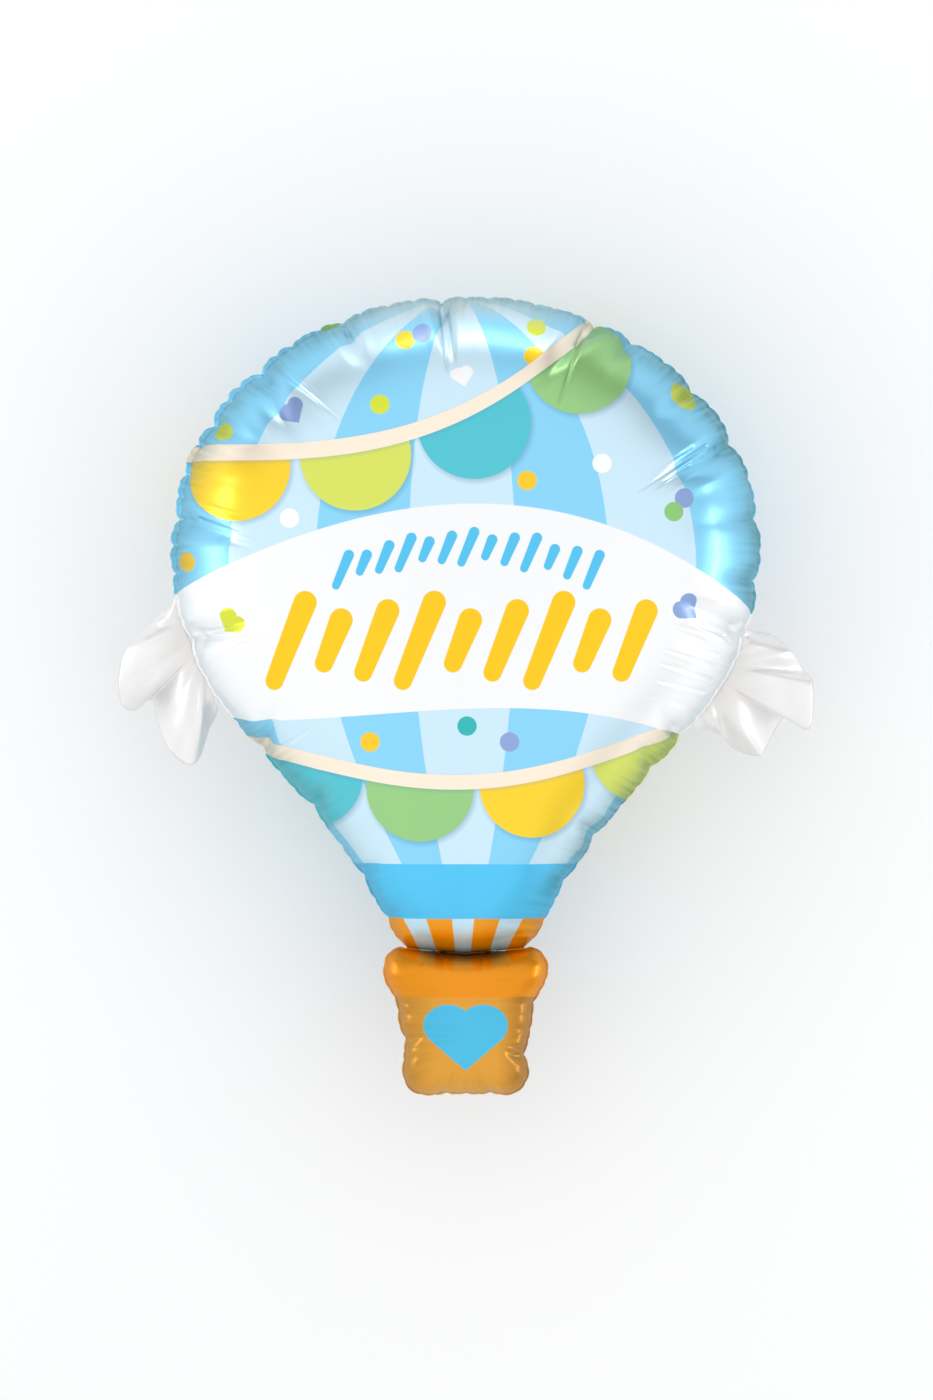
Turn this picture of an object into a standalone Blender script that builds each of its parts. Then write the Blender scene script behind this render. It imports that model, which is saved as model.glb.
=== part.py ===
"""An inflated foil balloon in the shape of a hot air balloon, lying on its back.

The foil is one sealed skin: a big round-topped envelope that narrows to a pinched neck, and a small
basket below it. A white pleated tail is sealed to the seam on each side. The printed front looks up
(+Z), the crown points to +Y and the basket to -Y. All sizes are in metres.
"""

import math

import bmesh
import bpy
import numpy as np

# Envelope, measured along Y from the neck and across X from the centre line.
ENVELOPE_HALF_WIDTH = 0.384
ENVELOPE_LENGTH = 0.865
DOME_LENGTH = 0.3235
NECK_HALF_WIDTH = 0.077
FLANK_UPPER_PULL = 0.249
FLANK_LOWER_PULL = (0.126, 0.284)
ENVELOPE_THICKNESS = 0.420
DOME_ROUNDNESS = 2.7
FLANK_SPOKE_SLOPE = 0.75
SPINE_TOP = 0.697
SPINE_BOTTOM = 0.060
SPINE_BLEND = 0.16
SPOKE_SPREAD = 0.04

# Basket, measured along Y from its bottom edge.
BASKET_LENGTH = 0.1855
BASKET_HALF_WIDTH = 0.080
RIM_HALF_WIDTH = 0.101
RIM_LENGTH = 0.062
BASKET_THICKNESS = 0.096
RIM_THICKNESS = 0.106
BASKET_ROUNDNESS = 2.3

# The sealed neck: two short gas channels cross a flat weld that curves up at its ends.
NECK_THICKNESS = 0.009
NECK_RISE = 0.006
CHANNEL_OFFSET = 0.036
CHANNEL_HALF_WIDTH = 0.009
CHANNEL_HEIGHT = 0.016

# The flat welded margin round the seam, and the flat spot that the balloon rests on.
SEAM_MARGIN = 0.007
SEAM_THICKNESS = 0.0014
REST_FLATTENING = 0.004

# Creases that run in from the seam: side, place along the half seam from the middle of the basket's
# bottom (0) to the crown (1), how far they reach in, how deep they are, their half width at the seam,
# and how far they lean towards the crown for each metre that they run in.
CREASES = (
    (-1, 0.017, 0.022, 0.005, 0.007, 0.0),
    (-1, 0.091, 0.030, 0.006, 0.009, 0.2),
    (-1, 0.220, 0.030, 0.004, 0.008, 0.3),
    (-1, 0.265, 0.035, 0.006, 0.009, 0.3),
    (-1, 0.344, 0.055, 0.009, 0.011, 0.5),
    (-1, 0.415, 0.080, 0.008, 0.011, 0.7),
    (-1, 0.532, 0.110, 0.012, 0.013, 0.0),
    (-1, 0.643, 0.120, 0.009, 0.014, -0.3),
    (-1, 0.734, 0.075, 0.006, 0.010, 0.0),
    (-1, 0.799, 0.150, 0.010, 0.013, -0.5),
    (-1, 0.887, 0.070, 0.008, 0.011, -0.2),
    (-1, 0.979, 0.120, 0.013, 0.012, 0.1),
    (1, 0.022, 0.022, 0.005, 0.007, 0.0),
    (1, 0.075, 0.034, 0.007, 0.009, -0.2),
    (1, 0.259, 0.030, 0.005, 0.009, 0.2),
    (1, 0.309, 0.050, 0.009, 0.011, 0.4),
    (1, 0.391, 0.050, 0.006, 0.010, 0.5),
    (1, 0.430, 0.060, 0.008, 0.010, 0.3),
    (1, 0.539, 0.150, 0.011, 0.013, 0.2),
    (1, 0.587, 0.055, 0.006, 0.011, 0.0),
    (1, 0.643, 0.060, 0.006, 0.011, 0.0),
    (1, 0.714, 0.150, 0.014, 0.014, -0.2),
    (1, 0.773, 0.070, 0.008, 0.012, 0.0),
    (1, 0.843, 0.055, 0.007, 0.011, 0.1),
    (1, 0.880, 0.130, 0.012, 0.012, 0.3),
)
LOBE_BULGE = 0.05
LOBE_BULGE_MOST = 0.004
CREASE_NOTCH = 0.55
CREASE_SHOULDER = 0.30
CREASE_FREE_END = 0.03

# The white tails: where each is sealed to the seam, its gap to the welded margin, its film, and the
# corners of its free hem, as (out across X, along Y from the seam's midpoint, up along Z, join).
TAIL_GAP = 0.0004
TAIL_FILM = 0.0016
LEFT_TAIL_SEAM = (0.470, 0.576)
RIGHT_TAIL_SEAM = (0.443, 0.544)
LEFT_HEM = (
    (0.039, 0.057, 0.000, 0.98),
    (0.071, 0.028, 0.012, 0.78),
    (0.097, 0.000, 0.020, 0.68),
    (0.107, -0.042, 0.018, 0.61),
    (0.104, -0.073, 0.006, 0.56),
    (0.092, -0.083, -0.008, 0.52),
    (0.080, -0.080, -0.026, 0.48),
    (0.065, -0.069, -0.046, 0.45),
    (0.053, -0.106, -0.028, 0.41),
    (0.040, -0.136, -0.010, 0.37),
    (0.014, -0.156, 0.004, 0.31),
    (-0.002, -0.145, 0.006, 0.25),
    (-0.015, -0.106, 0.000, 0.17),
    (-0.022, -0.094, -0.002, 0.10),
    (-0.026, -0.083, 0.000, 0.02),
)
RIGHT_HEM = (
    (0.045, 0.063, 0.000, 0.98),
    (0.073, 0.057, 0.006, 0.80),
    (0.097, 0.035, 0.018, 0.70),
    (0.117, 0.008, -0.010, 0.63),
    (0.127, -0.007, 0.010, 0.58),
    (0.126, -0.061, 0.012, 0.53),
    (0.115, -0.070, 0.004, 0.49),
    (0.090, -0.054, -0.028, 0.45),
    (0.063, -0.098, -0.002, 0.41),
    (0.055, -0.106, 0.006, 0.36),
    (0.023, -0.097, -0.018, 0.29),
    (0.004, -0.078, 0.006, 0.20),
    (-0.016, -0.070, 0.002, 0.10),
    (-0.032, -0.073, 0.000, 0.02),
)
TAIL_DROOP = 0.045

# How finely the solids are faceted.
BASKET_STEPS = 18
NECK_ROWS = (-0.012, -0.005, 0.0, 0.005, 0.013, 0.023)
ENVELOPE_STEPS = 72
RING_STEPS = 9
TAIL_STEPS_PER_CORNER = 2
TAIL_ROWS = 5
OUTLINE_SAMPLES = 160


def smooth_step(value):
    """0 below 0 and 1 above 1, with a smooth rise between them."""
    value = np.clip(value, 0.0, 1.0)
    return value * value * (3.0 - 2.0 * value)


def smooth_min(first, second, blend):
    """The smaller of two values, rounded off where they are within blend of each other."""
    share = np.maximum(blend - np.abs(first - second), 0.0) / blend
    return np.minimum(first, second) - share * share * blend / 4.0


def smooth_max(first, second, blend):
    """The larger of two values, rounded off where they are within blend of each other."""
    return -smooth_min(-first, -second, blend)


def curve_through(points, samples):
    """A smooth curve through the points, as an array with samples points on each stretch."""
    padded = [2 * points[0] - points[1], *points, 2 * points[-1] - points[-2]]
    t = np.linspace(0.0, 1.0, samples, endpoint=False)[:, None]
    stretches = []
    for a, b, c, d in zip(padded, padded[1:], padded[2:], padded[3:]):
        curve = 2 * b + (c - a) * t + (2 * a - 5 * b + 4 * c - d) * t**2
        stretches.append((curve + (3 * b - a - 3 * c + d) * t**3) / 2)
    return np.concatenate([*stretches, [points[-1]]])


def basket_outline():
    """The basket's right side from the middle of its bottom edge to the neck."""
    width, rim, length = BASKET_HALF_WIDTH, RIM_HALF_WIDTH, BASKET_LENGTH
    body = length - RIM_LENGTH
    corners = [
        (0.0, 0.0),
        (0.45 * width, 0.0),
        (0.74 * width, 0.008 * body),
        (0.91 * width, 0.10 * body),
        (0.94 * width, 0.24 * body),
        (0.93 * width, 0.44 * body),
        (1.00 * width, 0.70 * body),
        (1.03 * width, 0.93 * body),
        ((width + rim) / 2, length - 0.85 * RIM_LENGTH),
        (0.975 * rim, length - 0.62 * RIM_LENGTH),
        (1.0 * rim, length - 0.38 * RIM_LENGTH),
        (0.96 * rim, length - 0.16 * RIM_LENGTH),
        ((NECK_HALF_WIDTH + rim) / 2, length + 0.0),
        (NECK_HALF_WIDTH + 0.2 * (rim - NECK_HALF_WIDTH), length + 0.02 * RIM_LENGTH),
        (NECK_HALF_WIDTH, length),
    ]
    return curve_through([np.array(corner) for corner in corners], OUTLINE_SAMPLES // 8)


def flank_outline():
    """The envelope's right side from the neck to its widest place."""
    start = np.array((NECK_HALF_WIDTH, BASKET_LENGTH))
    end = np.array((ENVELOPE_HALF_WIDTH, BASKET_LENGTH + ENVELOPE_LENGTH - DOME_LENGTH))
    lower = start + np.array(FLANK_LOWER_PULL)
    upper = end - np.array((0.0, FLANK_UPPER_PULL))
    t = np.linspace(0.0, 1.0, OUTLINE_SAMPLES)[:, None]
    ends = (1 - t) ** 3 * start + t**3 * end
    return ends + 3 * (1 - t) ** 2 * t * lower + 3 * (1 - t) * t * t * upper


def dome_outline():
    """The envelope's right side from its widest place to the crown."""
    turn = np.linspace(0.0, math.pi / 2, OUTLINE_SAMPLES)
    widest = BASKET_LENGTH + ENVELOPE_LENGTH - DOME_LENGTH
    across = ENVELOPE_HALF_WIDTH * np.cos(turn)
    return np.stack([across, widest + DOME_LENGTH * np.sin(turn)], axis=1)


class Seam:
    """The right half of the seam as a curve, read by its length from the basket's bottom."""

    def __init__(self):
        basket, flank, dome = basket_outline(), flank_outline(), dome_outline()
        self.points = np.concatenate([basket, flank[1:], dome[1:]])
        steps = np.linalg.norm(np.diff(self.points, axis=0), axis=1)
        self.along = np.concatenate([[0.0], np.cumsum(steps)])
        self.length = self.along[-1]
        self.neck = self.along[len(basket) - 1]
        tangents = np.gradient(self.points, self.along, axis=0)
        tangents /= np.linalg.norm(tangents, axis=1)[:, None]
        self.outward = np.stack([tangents[:, 1], -tangents[:, 0]], axis=1)
        self.outward[0] = (0.0, -1.0)
        self.outward[-1] = (0.0, 1.0)
        self.opposite = self.centre_line_places()

    def centre_line_places(self):
        """How far along Y the centre line stands opposite each point of the seam."""
        across, height = self.points[:, 0], self.points[:, 1]
        rise = (height - BASKET_LENGTH) / RIM_LENGTH
        outside = np.maximum(across - NECK_HALF_WIDTH, 0.0) * smooth_step(rise)
        near_neck = 1.0 - smooth_step(np.abs(rise))
        place = height + FLANK_SPOKE_SLOPE * outside - NECK_RISE * near_neck
        place = smooth_min(place, SPINE_TOP, SPINE_BLEND)
        place = smooth_max(place, SPINE_BOTTOM, SPINE_BOTTOM)
        return place + SPOKE_SPREAD * (self.along - self.neck)

    def at(self, along):
        """Points and outward directions at lengths along the half seam."""
        point = [np.interp(along, self.along, self.points[:, i]) for i in (0, 1)]
        outward = [np.interp(along, self.along, self.outward[:, i]) for i in (0, 1)]
        return np.stack(point, axis=-1), np.stack(outward, axis=-1)

    def centre_at(self, along):
        """Points of the centre line opposite the seam at lengths along the half seam."""
        place = np.interp(along, self.along, self.opposite)
        return np.stack([np.zeros_like(place), place], axis=-1)


def half_thickness(place):
    """Half the inflated thickness on the centre line, at a place along Y."""
    neck = BASKET_LENGTH - NECK_RISE
    widest = BASKET_LENGTH + ENVELOPE_LENGTH - DOME_LENGTH
    risen = np.clip((place - neck) / (widest - neck), 0.0, 1.0)
    envelope = ENVELOPE_THICKNESS / 2 * (1.0 - (1.0 - risen) ** 2) ** 0.55
    below = np.maximum(neck - place, 0.0) / RIM_LENGTH
    rim_share = smooth_step((1.15 - below) / 0.4)
    full = BASKET_THICKNESS + (RIM_THICKNESS - BASKET_THICKNESS) * rim_share
    basket = full / 2 * np.sqrt(np.clip(1.0 - (1.0 - below / 0.55) ** 2, 0.0, 1.0))
    basket = np.where(below > 0.55, full / 2, basket)
    return np.maximum(np.where(place > neck, envelope, basket), NECK_THICKNESS / 2)


def gas_channels(across, along):
    """Height that the two small channels add where they cross the weld at the neck."""
    weld = BASKET_LENGTH - NECK_RISE * (1.0 - (across / NECK_HALF_WIDTH) ** 2)
    sideways = np.exp(-(((np.abs(across) - CHANNEL_OFFSET) / CHANNEL_HALF_WIDTH) ** 2))
    return CHANNEL_HEIGHT * sideways * np.exp(-(((along - weld) / CHANNEL_HALF_WIDTH) ** 2))


def lobe_bulge(along, seam, places):
    """How far the seam swells out between one crease and the next."""
    stops = np.array([0.0, *sorted([*places, seam.neck]), seam.length])
    after = np.clip(np.searchsorted(stops, along, side="right"), 1, len(stops) - 1)
    gap = stops[after] - stops[after - 1]
    share = np.clip((along - stops[after - 1]) / gap, 0.0, 1.0)
    return np.minimum(LOBE_BULGE * gap, LOBE_BULGE_MOST) * np.sin(math.pi * share)


def crease_depth(along, seam, side, inward, ring):
    """How deep the creases are at a length along the seam and a distance in from it."""
    depth = np.zeros(np.broadcast(along, inward).shape)
    for crease_side, place, reach, deep, half_width, lean in CREASES:
        if crease_side != side:
            continue
        sideways = (along - place * seam.length - lean * inward) * np.maximum(ring, 0.3)
        offset = np.abs(sideways) / (half_width * (1.0 - 0.5 * np.minimum(inward / reach, 1)))
        valley = np.exp(-(offset**1.4)) - CREASE_SHOULDER * np.exp(-((offset - 2.2) ** 2))
        depth += deep * valley * (1.0 - smooth_step(inward / reach))
    return depth * smooth_step(np.minimum(along, seam.length - along) / CREASE_FREE_END)


def foil_surface(seam, side, along, turn):
    """Points of the front skin: along is the length on the half seam, and turn goes from 0 on the
    centre line to a right angle at the seam. side is 1 on the right and -1 on the left."""
    outline, outward = seam.at(along)
    centre = seam.centre_at(along)
    places = [place * seam.length for s, place, *_ in CREASES if s == side]
    notch = crease_depth(along, seam, side, np.zeros_like(along), np.ones_like(along))
    grow = lobe_bulge(along, seam, places) - CREASE_NOTCH * notch
    grow *= smooth_step(np.abs(along - seam.neck) / (2 * SEAM_MARGIN))
    outline = outline + outward * grow[..., None]
    thickness = half_thickness(centre[..., 1])
    share = smooth_step((centre[..., 1] - BASKET_LENGTH) / (2 * RIM_LENGTH))
    roundness = BASKET_ROUNDNESS + (DOME_ROUNDNESS - BASKET_ROUNDNESS) * share
    ring = np.sin(turn) ** (2.0 / roundness)
    flat = centre + (outline - centre) * ring[..., None]
    inward = np.linalg.norm(outline - centre, axis=-1) * (1.0 - ring)
    dent = crease_depth(along, seam, side, inward, ring)
    dent *= smooth_step(inward / 0.012)
    up = thickness * np.cos(turn) - dent
    channels = gas_channels(flat[..., 0], flat[..., 1]) * smooth_step(inward / 0.02)
    up = np.maximum(up, channels * np.ones_like(up))
    across = flat[..., 0] * side
    return np.stack([across, flat[..., 1], np.maximum(up, 0.0) + SEAM_THICKNESS / 2], axis=-1)


def margin_width(seam, along):
    """Width of the welded margin, which dies out in the notch beside the neck."""
    return SEAM_MARGIN * (0.15 + 0.85 * smooth_step(np.abs(along - seam.neck) / 0.03))


def margin_point(seam, side, along):
    """A point on the outer edge of the welded margin."""
    edge = foil_surface(seam, side, along, np.full_like(along, math.pi / 2))
    _, outward = seam.at(along)
    width = margin_width(seam, along)
    edge[..., 0] += side * outward[..., 0] * width
    edge[..., 1] += outward[..., 1] * width
    return edge


def seam_rows(seam):
    """Lengths along the half seam where the solid has a row of points, closer beside the neck."""
    basket = np.linspace(0.0, seam.neck, BASKET_STEPS + 1)
    envelope = np.linspace(seam.neck, seam.length, ENVELOPE_STEPS + 1)
    rows = np.concatenate([basket[:-2], seam.neck + np.array(NECK_ROWS), envelope[2:]])
    return rows


def rows_at_creases(seam, side, rows):
    """The same rows with those nearest to each crease moved onto its valley and its two shoulders."""
    moved = rows.copy()
    for crease_side, place, _, _, half_width, _ in CREASES:
        if crease_side == side:
            nearest = int(np.argmin(np.abs(rows - place * seam.length)))
            nearest = min(max(nearest, 1), len(rows) - 2)
            for step in (-1, 0, 1):
                moved[nearest + step] = place * seam.length + step * half_width
    return moved


def panel_points(seam, side, rest_height):
    """Rows of points of the front and the back skin on one side, from the margin to the centre line."""
    rows = seam_rows(seam)
    moved = rows_at_creases(seam, side, rows)
    turn = np.linspace(math.pi / 2, 0.0, RING_STEPS + 1)[None, :]
    outer = smooth_step(turn / (math.pi / 2) * 1.25)
    along = rows[:, None] + (moved - rows)[:, None] * outer
    skin = foil_surface(seam, side, along, np.broadcast_to(turn, along.shape))
    margin = margin_point(seam, side, moved)[:, None]
    front = np.concatenate([margin, skin], axis=1)
    back = front * np.array((1.0, 1.0, -1.0))
    back[..., 2] = np.maximum(back[..., 2], -rest_height)
    return front, back


def add_sheet(bm, points, flip):
    """Adds a grid of faces to the mesh, with its points moved to the ones given."""
    rows, columns = points.shape[:2]
    grid = bmesh.ops.create_grid(bm, x_segments=columns - 1, y_segments=rows - 1, size=1.0)
    for vertex in grid["verts"]:
        column = round((vertex.co.x + 1.0) / 2.0 * (columns - 1))
        row = round((vertex.co.y + 1.0) / 2.0 * (rows - 1))
        vertex.co = points[row, column]
    if flip:
        faces = {face for vertex in grid["verts"] for face in vertex.link_faces}
        bmesh.ops.reverse_faces(bm, faces=list(faces))


def object_from(bm, name, material):
    """Closes the mesh, makes it an object and gives it its material."""
    bmesh.ops.remove_doubles(bm, verts=bm.verts, dist=2e-6)
    bmesh.ops.dissolve_degenerate(bm, edges=bm.edges, dist=2e-6)
    bmesh.ops.triangulate(bm, faces=bm.faces)
    bmesh.ops.recalc_face_normals(bm, faces=bm.faces)
    if bm.calc_volume(signed=True) < 0.0:
        bmesh.ops.reverse_faces(bm, faces=bm.faces)
    mesh = bpy.data.meshes.new(name)
    bm.to_mesh(mesh)
    bm.free()
    mesh.materials.append(material)
    mesh.shade_smooth()
    made = bpy.data.objects.new(name, mesh)
    bpy.context.scene.collection.objects.link(made)
    return made


def plain_material(name, colour, roughness, metallic):
    """A Principled material of one colour."""
    material = bpy.data.materials.new(name)
    material.use_nodes = True
    shader = material.node_tree.nodes["Principled BSDF"]
    shader.inputs["Base Color"].default_value = (*colour, 1.0)
    shader.inputs["Roughness"].default_value = roughness
    shader.inputs["Metallic"].default_value = metallic
    return material


def make_foil(seam, rest_height, material):
    """The envelope and the basket, one sealed skin with its welded margin."""
    bm = bmesh.new()
    for side in (1, -1):
        front, back = panel_points(seam, side, rest_height)
        add_sheet(bm, front, side < 0)
        add_sheet(bm, back, side > 0)
        edge = np.stack([front[:, 0], back[:, 0]], axis=1)
        add_sheet(bm, edge, side > 0)
    return object_from(bm, "foil_balloon", material)


def tail_points(seam, side, ends, hem):
    """Rows of points of a tail's upper face, from the seam out to the hem."""
    low, high = (share * seam.length for share in ends)
    free = curve_through([np.array(corner[:3]) for corner in hem], TAIL_STEPS_PER_CORNER)
    steps = np.linspace(0.0, len(hem) - 1.0, len(free))
    joins = np.interp(steps, np.arange(len(hem)), [corner[3] for corner in hem])
    margin_rows = rows_at_creases(seam, side, seam_rows(seam))
    met = (margin_rows - low) / (high - low)
    met = [join for join in met if joins[-1] < join < joins[0]]
    columns = np.array(sorted({*joins, *met}))
    along = low + (high - low) * columns
    margin = margin_point(seam, side, margin_rows)
    inner = np.stack([np.interp(along, margin_rows, margin[:, i]) for i in range(3)], axis=1)
    _, outward = seam.at(along)
    inner[:, 0] += side * outward[:, 0] * TAIL_GAP
    inner[:, 1] += outward[:, 1] * TAIL_GAP
    middle, _ = seam.at(np.array((low + high) / 2))
    outer = np.stack([np.interp(columns, joins[::-1], free[::-1, i]) for i in range(3)], axis=1)
    outer = outer * np.array((side, 1.0, 1.0)) + np.array((side * middle[0], middle[1], 0.0))
    out = np.linspace(0.0, 1.0, TAIL_ROWS + 1)[None, :, None]
    points = inner[:, None, :] * (1 - out) + outer[:, None, :] * out
    lift = (outer[:, None, 2] - inner[:, None, 2]) * (out[..., 0] ** 1.5 - out[..., 0])
    points[..., 2] += lift - TAIL_DROOP * out[..., 0] ** 2
    return points


def make_tail(seam, name, side, ends, hem, material):
    """One pleated white tail, a thin closed sheet."""
    bm = bmesh.new()
    upper = tail_points(seam, side, ends, hem)
    upper[..., 2] += TAIL_FILM / 2 - SEAM_THICKNESS / 2
    lower = upper - np.array((0.0, 0.0, TAIL_FILM))
    add_sheet(bm, upper, side > 0)
    add_sheet(bm, lower, side < 0)
    for first, second in ((upper[:, 0], lower[:, 0]), (upper[:, -1], lower[:, -1])):
        add_sheet(bm, np.stack([first, second], axis=1), False)
    for first, second in ((upper[0], lower[0]), (upper[-1], lower[-1])):
        add_sheet(bm, np.stack([first, second], axis=1), False)
    return object_from(bm, name, material)


def set_down(objects):
    """Moves the meshes so that the origin is under the middle of the whole, on the floor."""
    corners = np.array([vertex.co for made in objects for vertex in made.data.vertices])
    low, high = corners.min(axis=0), corners.max(axis=0)
    shift = np.array(((low[0] + high[0]) / 2, (low[1] + high[1]) / 2, low[2]))
    for made in objects:
        for vertex in made.data.vertices:
            vertex.co = np.array(vertex.co) - shift


def main():
    for old in list(bpy.data.objects):
        bpy.data.objects.remove(old)
    seam = Seam()
    rest_height = ENVELOPE_THICKNESS / 2 - REST_FLATTENING
    foil = plain_material("printed_foil", (0.35, 0.66, 0.87), 0.25, 0.3)
    film = plain_material("white_film", (0.88, 0.87, 0.85), 0.4, 0.0)
    balloon = make_foil(seam, rest_height, foil)
    left = make_tail(seam, "left_tail", -1, LEFT_TAIL_SEAM, LEFT_HEM, film)
    right = make_tail(seam, "right_tail", 1, RIGHT_TAIL_SEAM, RIGHT_HEM, film)
    set_down([balloon, left, right])


if __name__ == "__main__":
    main()
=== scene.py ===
"""Looks of an inflated foil balloon that lies on its back on a studio floor.

The skin is two printed foil panels with their puckers, creases and welded margin, and each side has a
pleated white tail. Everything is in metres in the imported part's frame: +X to the right of the print,
+Y to the crown and +Z out of the printed front.
"""

import math

import bmesh
import bpy
import numpy as np
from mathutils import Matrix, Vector


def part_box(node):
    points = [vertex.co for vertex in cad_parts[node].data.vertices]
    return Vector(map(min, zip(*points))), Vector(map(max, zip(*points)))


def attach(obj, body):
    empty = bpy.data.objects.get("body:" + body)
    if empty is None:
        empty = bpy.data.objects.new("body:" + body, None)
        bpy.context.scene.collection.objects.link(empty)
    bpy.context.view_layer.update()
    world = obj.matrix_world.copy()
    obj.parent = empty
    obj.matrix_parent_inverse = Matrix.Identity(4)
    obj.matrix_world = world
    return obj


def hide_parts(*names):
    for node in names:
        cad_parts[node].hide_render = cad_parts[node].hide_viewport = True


bl_info = {
    "name": "Foil Balloon",
    "version": (1, 0, 0),
    "blender": (4, 5, 0),
    "location": "3D View > Sidebar > Balloon",
    "description": "Makes the foil panels, white tails and studio of an inflated foil balloon",
    "category": "Object",
}

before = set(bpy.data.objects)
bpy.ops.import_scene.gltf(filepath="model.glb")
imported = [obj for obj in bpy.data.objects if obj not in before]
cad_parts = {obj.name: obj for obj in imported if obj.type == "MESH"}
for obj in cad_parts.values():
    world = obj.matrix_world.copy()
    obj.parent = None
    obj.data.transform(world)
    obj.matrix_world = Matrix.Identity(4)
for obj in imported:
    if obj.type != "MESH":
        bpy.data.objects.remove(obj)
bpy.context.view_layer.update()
CROWN_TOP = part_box("foil_balloon")[1][1]

# The solids' own sizes, along Y from the seam at the basket's bottom.
ENVELOPE_HALF_WIDTH = 0.384
ENVELOPE_LENGTH = 0.865
DOME_LENGTH = 0.3235
NECK_HALF_WIDTH = 0.077
FLANK_UPPER_PULL = 0.249
FLANK_LOWER_PULL = (0.126, 0.284)
ENVELOPE_THICKNESS = 0.420
DOME_ROUNDNESS = 2.7
FLANK_SPOKE_SLOPE = 0.75
SPINE_TOP = 0.697
SPINE_BOTTOM = 0.060
SPINE_BLEND = 0.16
SPOKE_SPREAD = 0.04
BASKET_LENGTH = 0.1855
BASKET_HALF_WIDTH = 0.080
RIM_HALF_WIDTH = 0.101
RIM_LENGTH = 0.062
BASKET_THICKNESS = 0.096
RIM_THICKNESS = 0.106
BASKET_ROUNDNESS = 2.3
ENVELOPE_FULLNESS, BASKET_FULL_PLACE = 0.55, 0.55
RIM_FALL_END, RIM_FALL_LENGTH = 1.15, 0.4
NECK_THICKNESS = 0.009
NECK_RISE = 0.006
CHANNEL_OFFSET = 0.036
CHANNEL_HALF_WIDTH = 0.009
CHANNEL_HEIGHT = 0.016
SEAM_MARGIN = 0.007
SEAM_THICKNESS = 0.0014
REST_FLATTENING = 0.004
WIDEST = BASKET_LENGTH + ENVELOPE_LENGTH - DOME_LENGTH
REST_HEIGHT = ENVELOPE_THICKNESS / 2 - REST_FLATTENING
# From the solids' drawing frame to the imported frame.
SHIFT = np.array((0.0, CROWN_TOP - (BASKET_LENGTH + ENVELOPE_LENGTH + SEAM_MARGIN), REST_HEIGHT))

# The solids' creases: side, place along the half seam, reach, depth, half width and lean.
CREASES = (
    (-1, 0.017, 0.022, 0.0022, 0.005, 0.0),
    (-1, 0.091, 0.030, 0.006, 0.009, 0.2),
    (-1, 0.220, 0.030, 0.004, 0.008, 0.3),
    (-1, 0.265, 0.035, 0.006, 0.009, 0.3),
    (-1, 0.344, 0.055, 0.009, 0.011, 0.5),
    (-1, 0.415, 0.080, 0.008, 0.011, 0.7),
    (-1, 0.532, 0.110, 0.012, 0.013, 0.0),
    (-1, 0.643, 0.120, 0.009, 0.014, -0.3),
    (-1, 0.734, 0.075, 0.006, 0.010, 0.0),
    (-1, 0.799, 0.150, 0.010, 0.013, -0.5),
    (-1, 0.887, 0.070, 0.008, 0.011, -0.2),
    (-1, 0.979, 0.120, 0.013, 0.012, 0.1),
    (1, 0.022, 0.022, 0.0014, 0.005, 0.0),
    (1, 0.075, 0.034, 0.007, 0.009, -0.2),
    (1, 0.259, 0.030, 0.005, 0.009, 0.2),
    (1, 0.309, 0.050, 0.009, 0.011, 0.4),
    (1, 0.391, 0.050, 0.006, 0.010, 0.5),
    (1, 0.430, 0.060, 0.008, 0.010, 0.3),
    (1, 0.539, 0.150, 0.011, 0.013, 0.2),
    (1, 0.587, 0.055, 0.006, 0.011, 0.0),
    (1, 0.643, 0.060, 0.006, 0.011, 0.0),
    (1, 0.714, 0.150, 0.014, 0.014, -0.2),
    (1, 0.773, 0.070, 0.008, 0.012, 0.0),
    (1, 0.843, 0.055, 0.007, 0.011, 0.1),
    (1, 0.880, 0.130, 0.012, 0.012, 0.3),
)
LOBE_BULGE = 0.03
LOBE_BULGE_MOST = 0.0025
CREASE_NOTCH = 0.22
CREASE_SHOULDER = 0.30
CREASE_FREE_END = 0.03
CREASE_EDGE = 1.4

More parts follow.
